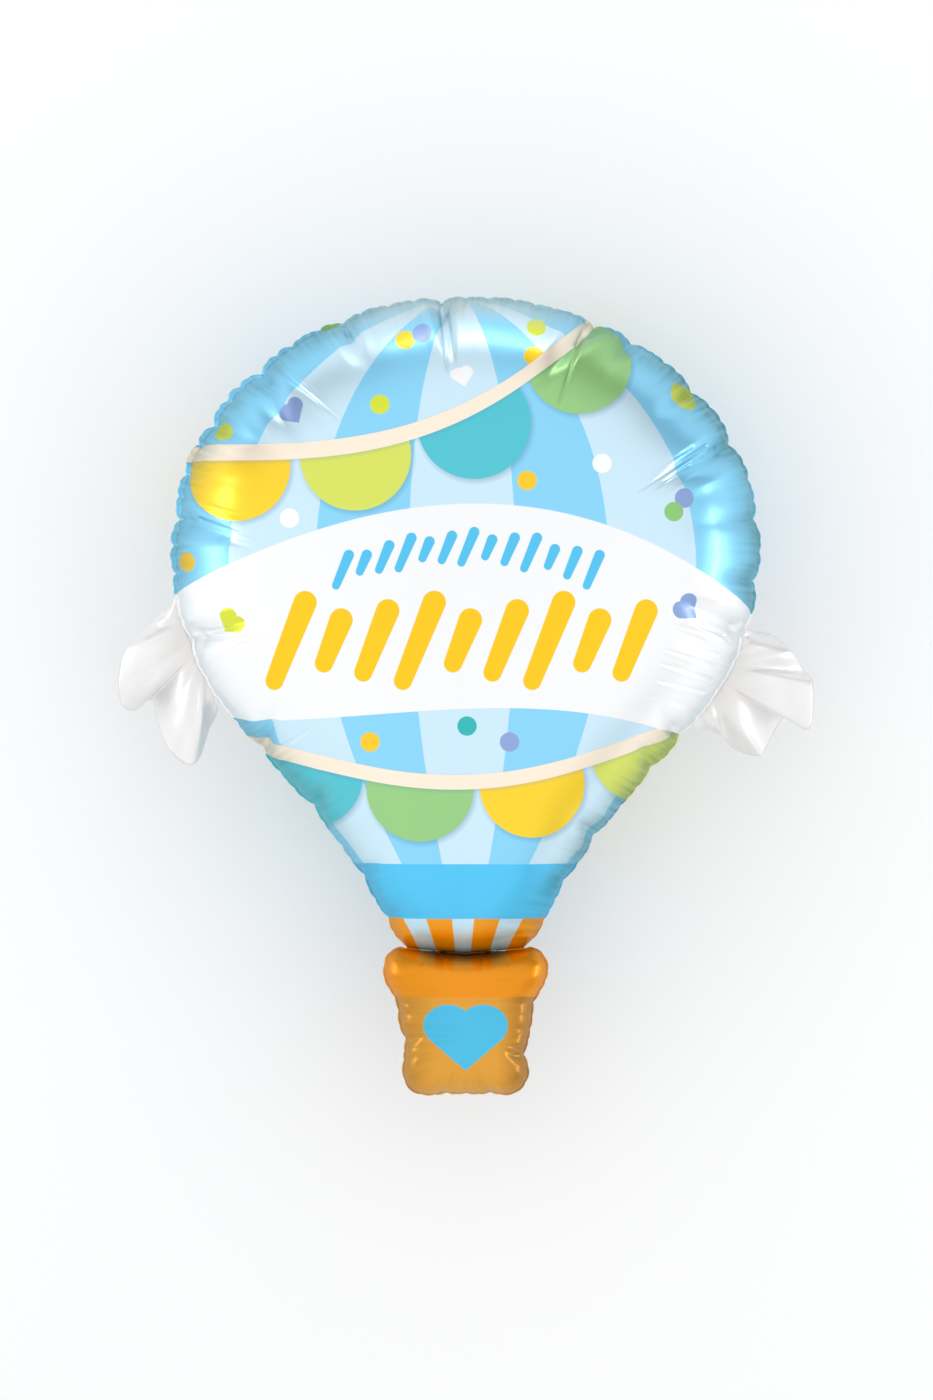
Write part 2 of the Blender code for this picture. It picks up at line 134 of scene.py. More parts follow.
# Sharp folds in the front panel: from (x, y) to (x, y), depth and half width, deepest at the start.
FRONT_FOLDS = (
    ((-0.128, -0.247), (-0.098, -0.240), 0.0022, 0.0032),
    ((-0.196, -0.149), (-0.155, -0.132), 0.0026, 0.0036),
    ((-0.268, -0.073), (-0.235, -0.061), 0.0036, 0.0040),
    ((-0.232, -0.060), (-0.186, -0.031), 0.0022, 0.0034),
    ((-0.365, 0.074), (-0.276, 0.078), 0.0052, 0.0038),
    ((-0.350, 0.084), (-0.276, 0.094), 0.0024, 0.0030),
    ((-0.300, 0.068), (-0.236, 0.082), 0.0020, 0.0030),
    ((-0.332, 0.150), (-0.262, 0.152), 0.0008, 0.0030),
    ((-0.336, 0.136), (-0.270, 0.134), 0.0008, 0.0030),
    ((-0.340, 0.120), (-0.276, 0.117), 0.0008, 0.0030),
    ((-0.357, 0.236), (-0.272, 0.207), 0.0036, 0.0038),
    ((-0.352, 0.250), (-0.290, 0.236), 0.0014, 0.0030),
    ((-0.310, 0.204), (-0.262, 0.190), 0.0012, 0.0030),
    ((-0.330, 0.352), (-0.296, 0.332), 0.0018, 0.0034),
    ((-0.252, 0.438), (-0.168, 0.366), 0.0040, 0.0040),
    ((-0.232, 0.436), (-0.176, 0.378), 0.0016, 0.0030),
    ((-0.286, 0.418), (-0.236, 0.398), 0.0018, 0.0032),
    ((-0.236, 0.458), (-0.200, 0.424), 0.0016, 0.0030),
    ((-0.165, 0.497), (-0.142, 0.462), 0.0030, 0.0036),
    ((-0.150, 0.492), (-0.134, 0.470), 0.0014, 0.0028),
    ((-0.034, 0.532), (-0.024, 0.430), 0.0050, 0.0040),
    ((-0.026, 0.520), (-0.018, 0.452), 0.0018, 0.0028),
    ((0.010, 0.526), (0.004, 0.486), 0.0014, 0.0030),
    ((0.163, 0.505), (0.124, 0.390), 0.0056, 0.0044),
    ((0.156, 0.486), (0.134, 0.424), 0.0020, 0.0030),
    ((0.176, 0.486), (0.214, 0.462), 0.0016, 0.0034),
    ((0.222, 0.458), (0.206, 0.446), 0.0014, 0.0030),
    ((0.322, 0.366), (0.290, 0.386), 0.0014, 0.0030),
    ((0.322, 0.334), (0.230, 0.271), 0.0048, 0.0042),
    ((0.300, 0.330), (0.252, 0.300), 0.0018, 0.0028),
    ((0.300, 0.310), (0.236, 0.262), 0.0020, 0.0028),
    ((0.306, 0.298), (0.248, 0.258), 0.0012, 0.0028),
    ((0.386, 0.239), (0.360, 0.234), 0.0020, 0.0030),
    ((0.384, 0.229), (0.366, 0.226), 0.0014, 0.0026),
    ((0.386, 0.150), (0.336, 0.150), 0.0010, 0.0030),
    ((0.384, 0.138), (0.330, 0.137), 0.0010, 0.0030),
    ((0.382, 0.126), (0.334, 0.125), 0.0010, 0.0030),
    ((0.345, 0.080), (0.287, 0.101), 0.0056, 0.0030),
    ((0.350, 0.074), (0.270, 0.096), 0.0022, 0.0030),
    ((0.336, 0.056), (0.306, 0.062), 0.0022, 0.0030),
    ((0.334, 0.040), (0.262, 0.062), 0.0028, 0.0032),
    ((0.330, 0.022), (0.256, 0.044), 0.0036, 0.0032),
    ((0.318, 0.006), (0.256, 0.020), 0.0024, 0.0034),
    ((0.290, -0.012), (0.236, 0.002), 0.0012, 0.0034),
    ((0.282, -0.054), (0.254, -0.040), 0.0026, 0.0034),
    ((0.246, -0.104), (0.218, -0.088), 0.0018, 0.0034),
    ((0.182, -0.140), (0.150, -0.116), 0.0014, 0.0034),
    ((0.127, -0.232), (0.100, -0.240), 0.0020, 0.0030),
    ((-0.090, -0.309), (-0.068, -0.303), 0.0012, 0.0030),
    ((-0.031, -0.350), (-0.030, -0.392), 0.0018, 0.0032),
    ((0.021, -0.350), (0.023, -0.390), 0.0018, 0.0032),
    ((-0.058, -0.352), (-0.062, -0.368), 0.0012, 0.0028),
    ((0.056, -0.352), (0.062, -0.368), 0.0012, 0.0028),
    ((-0.078, -0.432), (-0.064, -0.433), 0.0008, 0.0028),
    ((-0.084, -0.462), (-0.050, -0.452), 0.0018, 0.0032),
    ((0.088, -0.476), (0.046, -0.462), 0.0028, 0.0034),
    ((0.086, -0.484), (0.056, -0.478), 0.0012, 0.0028),
    ((-0.032, -0.531), (-0.031, -0.506), 0.0018, 0.0030),
    ((0.030, -0.531), (0.028, -0.514), 0.0014, 0.0030),
)
FOLD_DEPTH_SHARE, FOLD_WIDTH_SHARE, FOLD_FREE_END = 0.72, 0.68, 0.008
BACK_FOLDS = (
    ((-0.366, 0.210), (-0.262, 0.188), 0.0030, 0.007),
    ((-0.300, 0.392), (-0.214, 0.330), 0.0030, 0.007),
    ((-0.120, 0.510), (-0.090, 0.420), 0.0032, 0.006),
    ((0.060, 0.528), (0.052, 0.440), 0.0028, 0.006),
    ((0.236, 0.452), (0.176, 0.378), 0.0032, 0.007),
    ((0.358, 0.300), (0.262, 0.262), 0.0030, 0.007),
    ((0.382, 0.120), (0.300, 0.112), 0.0032, 0.007),
    ((0.318, -0.012), (0.246, 0.018), 0.0028, 0.006),
    ((0.196, -0.160), (0.146, -0.132), 0.0024, 0.006),
    ((-0.150, -0.216), (-0.112, -0.192), 0.0024, 0.006),
    ((-0.286, -0.052), (-0.214, -0.020), 0.0030, 0.007),
    ((-0.372, 0.080), (-0.286, 0.092), 0.0032, 0.007),
)

# Puckers along the seam: the widest spacing, how each finer set divides it, and each set's height as
# a share of its spacing and how far in it reaches, in spacings.
PUCKER_SPACING = 0.066
PUCKER_SETS = ((1, 0.040, 1.1), (2, 0.080, 1.1), (2, 0.080, 1.4))
PUCKER_JITTER = 0.22
PUCKER_CREST = 0.62
# Round the loop, from the crown down the left (negative) to the basket and up the right: the place
# along the half seam, how strong each set of puckers is, and how wide the welded margin shows.
SEAM_CHARACTER = (
    (-1.00, 0.3, 0.5, 0.6, 0.0030),
    (-0.87, 0.3, 0.7, 0.9, 0.0045),
    (-0.80, 0.5, 1.0, 1.1, 0.0065),
    (-0.62, 0.5, 1.2, 1.1, 0.0070),
    (-0.57, 0.3, 0.6, 0.8, 0.0040),
    (-0.46, 0.2, 0.3, 0.6, 0.0025),
    (-0.30, 0.2, 0.25, 0.5, 0.0025),
    (-0.20, 0.1, 0.25, 0.6, 0.0022),
    (0.20, 0.1, 0.25, 0.6, 0.0022),
    (0.30, 0.2, 0.25, 0.5, 0.0025),
    (0.46, 0.3, 0.25, 0.5, 0.0025),
    (0.60, 0.5, 0.4, 0.8, 0.0030),
    (0.80, 0.5, 0.4, 0.8, 0.0035),
    (1.00, 0.3, 0.5, 0.6, 0.0030),
)
# At the neck the two chambers bulge over the weld between them.
NECK_TRENCHES = {"envelope": (0.002, 0.02), "basket": (0.0012, 0.024)}
NECK_OVERHANG = 0.0016
NECK_OVERHANG_HEIGHT = 0.045
NECK_LEAN_REACH, NECK_LEAN_FREE = 0.03, 0.003
# Slow waves of the whole skin: their height, how many, and their least and most pitch.
WAVINESS, WAVES, WAVE_PITCH = 0.0007, 9, (0.06, 0.16)
MARGIN_WAVE, MARGIN_SWELL, MARGIN_LEAST = 0.5, 0.25, 0.0008
# The relief rises over these lengths from the neck, and over this share of a column from the middle.
NECK_CALM, NECK_WELD_CALM, NECK_LEAST_RELIEF, NECK_ARC_SHARE = 0.03, 0.012, 0.1, 0.4
CENTRE_CALM = 0.2
NOTCH_REACH = 0.012
CHANNEL_REACH = 0.02
# How far the print follows the length of the skin, rather than its shadow, where it turns down.
FILM_FORESHORTENING = 0.12
# Small crinkles beside the seam: how many, the least and most of their start, reach, lean, half width
# and depth, and how far a crinkle counts along the seam and stays off the neck.
CRINKLES = 240
CRINKLE_RANGES = ((0.0, 0.04), (0.02, 0.06), (-0.5, 0.5), (0.0025, 0.004), (0.0003, 0.0010))
CRINKLE_SPAN, CRINKLE_NECK_GAP = 0.06, 0.02
RANDOM_SEED = 7

# White tails, as in the solids.
TAIL_GAP = 0.0004
TAIL_DROOP = 0.045
TAIL_SEAMS = {-1: (0.470, 0.576), 1: (0.443, 0.544)}
TAIL_HEMS = {
    -1: (
        (0.039, 0.057, 0.000, 0.98),
        (0.071, 0.028, 0.012, 0.78),
        (0.097, 0.000, 0.020, 0.68),
        (0.107, -0.042, 0.018, 0.61),
        (0.104, -0.073, 0.006, 0.56),
        (0.092, -0.083, -0.008, 0.52),
        (0.080, -0.080, -0.026, 0.48),
        (0.065, -0.069, -0.046, 0.45),
        (0.053, -0.106, -0.028, 0.41),
        (0.040, -0.136, -0.010, 0.37),
        (0.014, -0.156, 0.004, 0.31),
        (-0.002, -0.145, 0.006, 0.25),
        (-0.015, -0.106, 0.000, 0.17),
        (-0.022, -0.094, -0.002, 0.10),
        (-0.026, -0.083, 0.000, 0.02),
    ),
    1: (
        (0.045, 0.063, 0.000, 0.98),
        (0.073, 0.057, 0.006, 0.80),
        (0.097, 0.035, 0.018, 0.70),
        (0.117, 0.008, -0.010, 0.63),
        (0.127, -0.007, 0.010, 0.58),
        (0.126, -0.061, 0.012, 0.53),
        (0.115, -0.070, 0.004, 0.49),
        (0.090, -0.054, -0.028, 0.45),
        (0.063, -0.098, -0.002, 0.41),
        (0.055, -0.106, 0.006, 0.36),
        (0.023, -0.097, -0.018, 0.29),
        (0.004, -0.078, 0.006, 0.20),
        (-0.016, -0.070, 0.002, 0.10),
        (-0.032, -0.073, 0.000, 0.02),
    ),
}
TAIL_NAMES = {-1: "left_tail", 1: "right_tail"}
TAIL_GATHERS = ((5, 0.0016), (11, 0.0008))
TAIL_WALL = 0.0004

# The print, in metres from the middle of the balloon. Curves go through (x, y) places.
BANNER_TOP = (
    (-0.384, 0.142),
    (-0.311, 0.173),
    (-0.196, 0.215),
    (-0.074, 0.249),
    (-0.001, 0.256),
    (0.062, 0.255),
    (0.188, 0.224),
    (0.302, 0.165),
    (0.388, 0.110),
)
BANNER_BOTTOM = (
    (-0.301, -0.028),
    (-0.251, -0.034),
    (-0.163, -0.028),
    (-0.064, -0.017),
    (0.006, -0.014),
    (0.054, -0.017),
    (0.140, -0.022),
    (0.201, -0.029),
    (0.256, -0.042),
)
UPPER_RIBBON = (
    (-0.355, 0.324),
    (-0.231, 0.324),
    (-0.064, 0.350),
    (0.000, 0.378),
    (0.080, 0.424),
    (0.160, 0.491),
)
LOWER_RIBBON = (
    (-0.271, -0.066),
    (-0.230, -0.075),
    (-0.138, -0.102),
    (-0.052, -0.112),
    (0.006, -0.113),
    (0.048, -0.108),
    (0.147, -0.088),
    (0.208, -0.070),
    (0.254, -0.051),
)
UPPER_RIBBON_HALF_WIDTH = 0.0108
LOWER_RIBBON_HALF_WIDTH = 0.0097
# Half-round flags that hang from a ribbon: middle, radius and colour.
UPPER_FLAGS = (
    (-0.302, 0.303, 0.071, "yellow"),
    (-0.145, 0.318, 0.0735, "lime"),
    (0.011, 0.361, 0.075, "teal"),
    (0.150, 0.445, 0.071, "green"),
)
LOWER_FLAGS = (
    (-0.206, -0.105, 0.0696, "teal"),
    (-0.060, -0.121, 0.071, "green"),
    (0.088, -0.117, 0.0696, "yellow"),
    (0.234, -0.069, 0.0703, "lime"),
)
DOTS = (
    (-0.080, 0.472, "dot_yellow"),
    (-0.058, 0.481, "periwinkle"),
    (0.090, 0.450, "dot_yellow"),
    (0.094, 0.490, "dot_lime"),
    (0.081, 0.284, "dot_yellow"),
    (-0.371, 0.179, "dot_yellow"),
    (-0.126, -0.060, "dot_yellow"),
    (-0.113, 0.385, "dot_lime"),
    (-0.319, 0.350, "dot_lime"),
    (0.289, 0.262, "periwinkle"),
    (0.275, 0.244, "dot_green"),
    (0.058, -0.060, "periwinkle"),
    (-0.232, 0.235, "white"),
    (0.180, 0.307, "white"),
    (0.002, -0.039, "dot_teal"),
    (-0.182, 0.497, "dot_green"),
)
# Small hearts: middle, width, turn in degrees and colour.
RIBBON_HEARTS = (
    (-0.004, 0.422, 0.030, 12.0, "white"),
    (-0.229, 0.376, 0.037, 32.0, "periwinkle"),
)
BANNER_HEARTS = (
    (0.293, 0.116, 0.038, 45.0, "periwinkle"),
    (-0.310, 0.098, 0.038, -47.0, "dot_lime"),
    (0.290, 0.399, 0.042, 130.0, "dot_lime"),
)
BASKET_HEART, BASKET_HEART_WIDTH = (0.0, -0.455), 0.113
# A heart's width and height, and how far its middle is above its square's, in sides of the square.
HEART_WIDTH, HEART_HEIGHT, HEART_RISE = 1.707, 1.561, 0.0732
STRIPE_EDGES = (1.0, 2.75, 4.4)
STRIPE_SPREAD = 0.2605
STRIPE_FOOT = -0.3635
STRIPE_CROWN = 0.5365
STRIPE_CROWN_POWER = 0.68
STRIPE_DRIFT = (-0.0023, -0.0094)
BAND_TOP, BAND_BOTTOM, NECK_LINE, RIM_BOTTOM = -0.222, -0.296, -0.341, -0.401
SKIRT_VANISHING = (-0.0033, -0.4505)
SKIRT_EDGES, SKIRT_SOFTNESS = (0.095, 0.318, 0.515), 0.003
# Painted shade at the top of the rim, in the trench under the envelope: its length, half width,
# softness, fall-off and strength, and the softness of the neck line.
NECK_SHADE_LENGTH, NECK_SHADE_HALF_WIDTH, NECK_SHADE_SOFTNESS = 0.019, 0.052, 0.014
NECK_SHADE_POWER, NECK_SHADE_MOST, NECK_SOFTNESS = 0.7, 0.97, 0.001
# Softness of the rim's lower edge, and the half width and strength of a band of painted shade just
# below it.
RIM_SOFTNESS, RIM_SHADE_HALF_WIDTH, RIM_SHADE_MOST = 0.0006, 0.003, 0.35
# Painted shade at the basket's sides, deeper on the right where less light falls: where it starts, its
# softness and its strength on each side.
BASKET_SHADE_PLACE, BASKET_SHADE_SOFTNESS = 0.058, 0.016
BASKET_SHADE_RIGHT, BASKET_SHADE_LEFT = 0.65, 0.35
# Soft shadows of the flags and ribbons: how far they are moved and spread, their softness and strength.
FLAG_SHADOW_MOVE, FLAG_SHADOW_SPREAD = (0.002, -0.003), 0.001
FLAG_SHADOW_SOFTNESS, FLAG_SHADOW_MOST = 0.0045, 0.45
RIBBON_SHADOW_DROP, RIBBON_SHADOW_SPREAD = 0.002, 1.15
RIBBON_SHADOW_SOFTNESS, RIBBON_SHADOW_MOST = 0.003, 0.25
# Rows of plain brush strokes on the banner: x of the first and last, y at the middle, how far the row
# sags at its ends, how many, their heights in turn, half width and slant.
BLUE_STROKES = (-0.162, 0.168, 0.196, 0.030, 13, (0.054, 0.036, 0.046), 0.0070, 0.42)
YELLOW_STROKES = (-0.232, 0.222, 0.072, 0.0, 9, (0.134, 0.088, 0.112), 0.0155, 0.40)
STROKE_TAPER = 0.78

# The film's finish. A range is (from, to, first, last): the result goes from first to last as the
# value goes from from to to.
# Painted shade beside the seam, in streaks and patches, stands in for the darker reflections of the
# steep edges; the streaks also raise the crimps.
STREAK_STRETCH, STREAK_DETAIL, STREAK_RANGE = (150, 6, 1), 1.5, (0.40, 0.62, 0.6, 1.0)
PATCH_SCALE, PATCH_DETAIL, PATCH_RANGE = 5.0, 2.0, (0.38, 0.56, 0.4, 1.0)
SMUDGE_SCALE, SMUDGE_DETAIL, SMUDGE_ROUGHNESS, SMUDGE_OFFSET = 9.0, 5.0, 0.06, 0.01
SEAM_RANGE, SEAM_CRIMP_FADE = (0.03, 0.14, 1.0, 0.0), -24.0
BASKET_SEAM_SHARE, SEAM_SHADE_TILT = 0.35, 0.6
BANNER_SHADE_LOSS, BANNER_METALLIC_LOSS = 0.8, 0.2
SEAM_SHADE_TINT = (0.40, 0.46, 0.38)
COAT_WEIGHT, COAT_SEAM_LOSS, COAT_ROUGHNESS, COAT_IOR = 0.45, 0.4, 0.14, 1.5
EDGE_TINT, SPECULAR_LEVEL = (0.30, 0.50, 0.56, 1.0), 0.25
# Painted reflection along the crown's edge, a pale band: middle, half width, lowest place, reach in
# from the seam, and softness.
CROWN_REFLECTION_MIDDLE, CROWN_REFLECTION_HALF_WIDTH, CROWN_REFLECTION_LOWEST, CROWN_REFLECTION_REACH = -0.01, 0.14, 0.3, 0.09
CROWN_REFLECTION_SIDE_SOFTNESS, CROWN_REFLECTION_REACH_SOFTNESS = 0.05, 0.03
# The tails' finish, with painted shade at the gathered roots.
GATHER_STRETCH, GATHER_DETAIL, GATHER_HEIGHT = (22, 3, 1), 4.0, 0.0010
TAIL_ROUGHNESS, TAIL_ROUGHNESS_SPREAD, TAIL_METALLIC, TAIL_COAT = 0.28, 0.12, 0.38, 0.2
TAIL_ROOT_SHADE_REACH, TAIL_ROOT_SHADE_MOST = 0.5, 0.62

# Columns round the half seam and rings across it, of each chamber's coarse grid. Its cells are halved
# once for each of the levels: those nearer to the seam, or to a fold, than the level's distances. The
# finest level is only for folds at least as deep as FINE_FOLD_DEPTH.
ENVELOPE_GRID = (122, 44)
BASKET_GRID = (34, 15)
BACK_ENVELOPE_GRID = (100, 40)
BACK_BASKET_GRID = (26, 12)
SEAM_LEVELS = (0.17, 0.085, 0.0)
FOLD_LEVELS = (0.022, 0.010, 0.0042)
SEAM_MESH_LEVEL = 2
FINE_FOLD_DEPTH = 0.0020
# Folds this near to the centre line refine both halves alike, and the finest level keeps this far from
# the seam, so that each piece's faces meet.
NEAR_CENTRE, COARSE_RIM = 0.07, 0.006
TAIL_COLUMNS_PER_CORNER, TAIL_ROWS = 14, 44
OUTLINE_SAMPLES, CURVE_SAMPLES = 160, 4000
FILM_SAMPLES = (200, 90)
MERGE_DISTANCE = 5e-6
# How much longer the skin is than the straight line from the seam to its middle.
SKIN_STRETCH = 1.12

# Softboxes: name, place, what it faces, width and height, and power.
SOFTBOXES = (
    ("crown_softbox", (0.0, 2.6, 0.30), (0.0, 0.5, 0.2), (1.8, 0.30), 8.0),
    ("left_softbox", (-2.4, 0.3, 0.42), (-0.3, 0.2, 0.2), (1.4, 0.50), 7.5),
    ("right_softbox", (2.4, -0.1, 0.42), (0.3, 0.1, 0.2), (1.4, 0.26), 9.0),
)
FLOOR_HALF_SIZE, FLOOR_TONE, FLOOR_ROUGHNESS = 6.0, (0.94, 0.94, 0.94, 1.0), 0.9
SKY_RANGE, SKY_TINT, BELT_LEAST = (0.05, 0.55, 0.0, 1.0), (0.985, 0.992, 1.0, 1.0), 0.12
CAMERA_X, CAMERA_Y, SENSOR_WIDTH, CLIP_END = 0.0013, -0.0047, 36.0, 100.0


def linear(red, green, blue):
    """A linear colour from 8-bit screen values."""
    share = [value / 255.0 for value in (red, green, blue)]
    return tuple(s / 12.92 if s <= 0.04045 else ((s + 0.055) / 1.055) ** 2.4 for s in share)


# Inks of the print, and the colours of painted shade and of a painted reflection: what each colours,
# and its colour.
INKS = {
    "pale_blue": ("Pale stripes", linear(207, 235, 250)),
    "sky_blue": ("Blue stripes", linear(140, 214, 248)),
    "band_blue": ("Solid band under the stripes", linear(84, 200, 246)),
    "cream": ("Ribbons", linear(252, 238, 218)),
    "yellow": ("Yellow flags", linear(253, 214, 44)),
    "lime": ("Lime flags", linear(218, 228, 98)),
    "teal": ("Teal flags", linear(84, 198, 212)),
    "green": ("Green flags", linear(154, 207, 134)),
    "dot_yellow": ("Yellow dots", linear(252, 204, 34)),
    "dot_lime": ("Lime dots and hearts", linear(220, 228, 56)),
    "dot_teal": ("Teal dots", linear(52, 186, 183)),
    "dot_green": ("Green dots", linear(144, 203, 122)),
    "periwinkle": ("Periwinkle dots and hearts", linear(144, 168, 218)),
    "white": ("White dots and hearts", linear(250, 251, 252)),
    "banner": ("Banner", linear(247, 248, 249)),
    "stroke_blue": ("Small brush strokes", linear(84, 196, 240)),
    "stroke_yellow": ("Large brush strokes", linear(255, 203, 4)),
    "skirt_orange": ("Skirt stripes", linear(252, 160, 2)),
    "skirt_pale": ("Pale skirt stripes", linear(204, 234, 250)),
    "rim_orange": ("Basket rim", linear(240, 148, 2)),
    # Painted shade, not print: dark at the top of the rim, under the envelope's overhang.
    "neck_brown": ("Shade at the top of the rim", linear(46, 29, 12)),
    "basket": ("Basket", linear(228, 161, 54)),
    # Painted shade, not print: darker at the basket's sides.
    "basket_shade": ("Shade at the basket's sides", linear(160, 104, 34)),
    "heart_blue": ("Heart on the basket", linear(78, 192, 232)),
    "shadow": ("Shadows round the flags", linear(70, 130, 160)),
    # Painted reflection, not print: the pale band along the crown's edge.
    "silver": ("Bare film at the crown", linear(236, 240, 238)),
}
# The tails' two tones, the darker where the gathers dip, and the painted shade at their roots.
TAIL_TONES, TAIL_ROOT_SHADE_TONE = (linear(228, 226, 225), linear(245, 244, 244)), linear(200, 195, 182)


def ink(name):
    """An ink's colour, as the sidebar has it."""
    return tuple(getattr(bpy.context.scene.balloon_print, name))


def smooth_step(value):
    """0 below 0 and 1 above 1, with a smooth rise between them."""
    value = np.clip(value, 0.0, 1.0)
    return value * value * (3.0 - 2.0 * value)


def smooth_min(first, second, blend):
    """The smaller of two values, rounded off where they are within blend of each other."""
    share = np.maximum(blend - np.abs(first - second), 0.0) / blend
    return np.minimum(first, second) - share * share * blend / 4.0


def smooth_max(first, second, blend):
    """The larger of two values, rounded off where they are within blend of each other."""
    return -smooth_min(-first, -second, blend)


def curve_through(points, samples):
    """A smooth curve through the points, as an array with samples points on each stretch."""
    padded = [2 * points[0] - points[1], *points, 2 * points[-1] - points[-2]]
    t = np.linspace(0.0, 1.0, samples, endpoint=False)[:, None]
    stretches = []
    for a, b, c, d in zip(padded, padded[1:], padded[2:], padded[3:]):
        curve = 2 * b + (c - a) * t + (2 * a - 5 * b + 4 * c - d) * t**2
        stretches.append((curve + (3 * b - a - 3 * c + d) * t**3) / 2)
    return np.concatenate([*stretches, [points[-1]]])


def basket_outline():
    """The basket's right side from the middle of its bottom edge to the neck."""
    width, rim, length = BASKET_HALF_WIDTH, RIM_HALF_WIDTH, BASKET_LENGTH
    body = length - RIM_LENGTH
    corners = [
        (0.0, 0.0),
        (0.45 * width, 0.0),
        (0.74 * width, 0.008 * body),
        (0.91 * width, 0.10 * body),
        (0.94 * width, 0.24 * body),
        (0.93 * width, 0.44 * body),
        (1.00 * width, 0.70 * body),
        (1.03 * width, 0.93 * body),
        ((width + rim) / 2, length - 0.85 * RIM_LENGTH),
        (0.975 * rim, length - 0.62 * RIM_LENGTH),
        (1.0 * rim, length - 0.38 * RIM_LENGTH),
        (0.96 * rim, length - 0.16 * RIM_LENGTH),
        ((NECK_HALF_WIDTH + rim) / 2, length + 0.0),
        (NECK_HALF_WIDTH + 0.2 * (rim - NECK_HALF_WIDTH), length + 0.02 * RIM_LENGTH),
        (NECK_HALF_WIDTH, length),
    ]
    return curve_through([np.array(corner) for corner in corners], OUTLINE_SAMPLES // 8)


def flank_outline():
    """The envelope's right side from the neck to its widest place."""
    start = np.array((NECK_HALF_WIDTH, BASKET_LENGTH))
    end = np.array((ENVELOPE_HALF_WIDTH, WIDEST))
    lower = start + np.array(FLANK_LOWER_PULL)
    upper = end - np.array((0.0, FLANK_UPPER_PULL))
    t = np.linspace(0.0, 1.0, OUTLINE_SAMPLES)[:, None]
    ends = (1 - t) ** 3 * start + t**3 * end
    return ends + 3 * (1 - t) ** 2 * t * lower + 3 * (1 - t) * t * t * upper


def dome_outline():
    """The envelope's right side from its widest place to the crown."""
    turn = np.linspace(0.0, math.pi / 2, OUTLINE_SAMPLES)
    across = ENVELOPE_HALF_WIDTH * np.cos(turn)
    return np.stack([across, WIDEST + DOME_LENGTH * np.sin(turn)], axis=1)


class Seam:
    """The right half of the seam as a curve, read by its length from the basket's bottom."""

    def __init__(self):
        basket, flank, dome = basket_outline(), flank_outline(), dome_outline()
        self.points = np.concatenate([basket, flank[1:], dome[1:]])
        steps = np.linalg.norm(np.diff(self.points, axis=0), axis=1)
        self.along = np.concatenate([[0.0], np.cumsum(steps)])
        self.length = self.along[-1]
        self.neck = self.along[len(basket) - 1]
        tangents = np.gradient(self.points, self.along, axis=0)
        tangents /= np.linalg.norm(tangents, axis=1)[:, None]
        self.outward = np.stack([tangents[:, 1], -tangents[:, 0]], axis=1)
        self.outward[0] = (0.0, -1.0)
        self.outward[-1] = (0.0, 1.0)
        self.opposite = self.centre_line_places()
        self.pucker_sets = self.place_puckers()

    def centre_line_places(self):
        """How far along Y the centre line stands opposite each point of the seam."""
        across, height = self.points[:, 0], self.points[:, 1]
        rise = (height - BASKET_LENGTH) / RIM_LENGTH
        outside = np.maximum(across - NECK_HALF_WIDTH, 0.0) * smooth_step(rise)
        near_neck = 1.0 - smooth_step(np.abs(rise))
        place = height + FLANK_SPOKE_SLOPE * outside - NECK_RISE * near_neck
        place = smooth_min(place, SPINE_TOP, SPINE_BLEND)
        place = smooth_max(place, SPINE_BOTTOM, SPINE_BOTTOM)
        return place + SPOKE_SPREAD * (self.along - self.neck)

    def at(self, along):
        """Points and outward directions at lengths along the half seam."""
        point = [np.interp(along, self.along, self.points[:, i]) for i in (0, 1)]
        outward = [np.interp(along, self.along, self.outward[:, i]) for i in (0, 1)]
        return np.stack(point, axis=-1), np.stack(outward, axis=-1)

    def centre_at(self, along):
        """Points of the centre line opposite the seam at lengths along the half seam."""
        place = np.interp(along, self.along, self.opposite)
        return np.stack([np.zeros_like(place), place], axis=-1)

    def place_puckers(self):
        """Valleys of each set of puckers round the whole loop, each finer set within the last."""
        chance = np.random.default_rng(RANDOM_SEED)
        stops = {side * place * self.length for side, place, *_ in CREASES}
        stops |= {-self.neck, self.neck}
        valleys, sets, spacing = np.array(sorted(stops)), [], PUCKER_SPACING
        for division, _, _ in PUCKER_SETS:
            ends = np.append(valleys, valleys[0] + 2 * self.length)
            spacing = spacing / division
            made = []
            for start, end in zip(ends, ends[1:]):
                count = max(1, round((end - start) / spacing))
                shares = np.arange(count) / count
                shares[1:] += PUCKER_JITTER / count * chance.uniform(-1, 1, count - 1)
                made.extend(start + shares * (end - start))
            valleys = np.array(made)
            sets.append(valleys)
        return sets


def half_thickness(place):
    """Half the inflated thickness on the centre line, at a place along Y."""
    neck = BASKET_LENGTH - NECK_RISE
    risen = np.clip((place - neck) / (WIDEST - neck), 0.0, 1.0)
    envelope = ENVELOPE_THICKNESS / 2 * (1.0 - (1.0 - risen) ** 2) ** ENVELOPE_FULLNESS
    below = np.maximum(neck - place, 0.0) / RIM_LENGTH
    rim_share = smooth_step((RIM_FALL_END - below) / RIM_FALL_LENGTH)
    full = BASKET_THICKNESS + (RIM_THICKNESS - BASKET_THICKNESS) * rim_share
    rounded = np.clip(1.0 - (1.0 - below / BASKET_FULL_PLACE) ** 2, 0.0, 1.0)
    basket = np.where(below > BASKET_FULL_PLACE, full / 2, full / 2 * np.sqrt(rounded))
    return np.maximum(np.where(place > neck, envelope, basket), NECK_THICKNESS / 2)


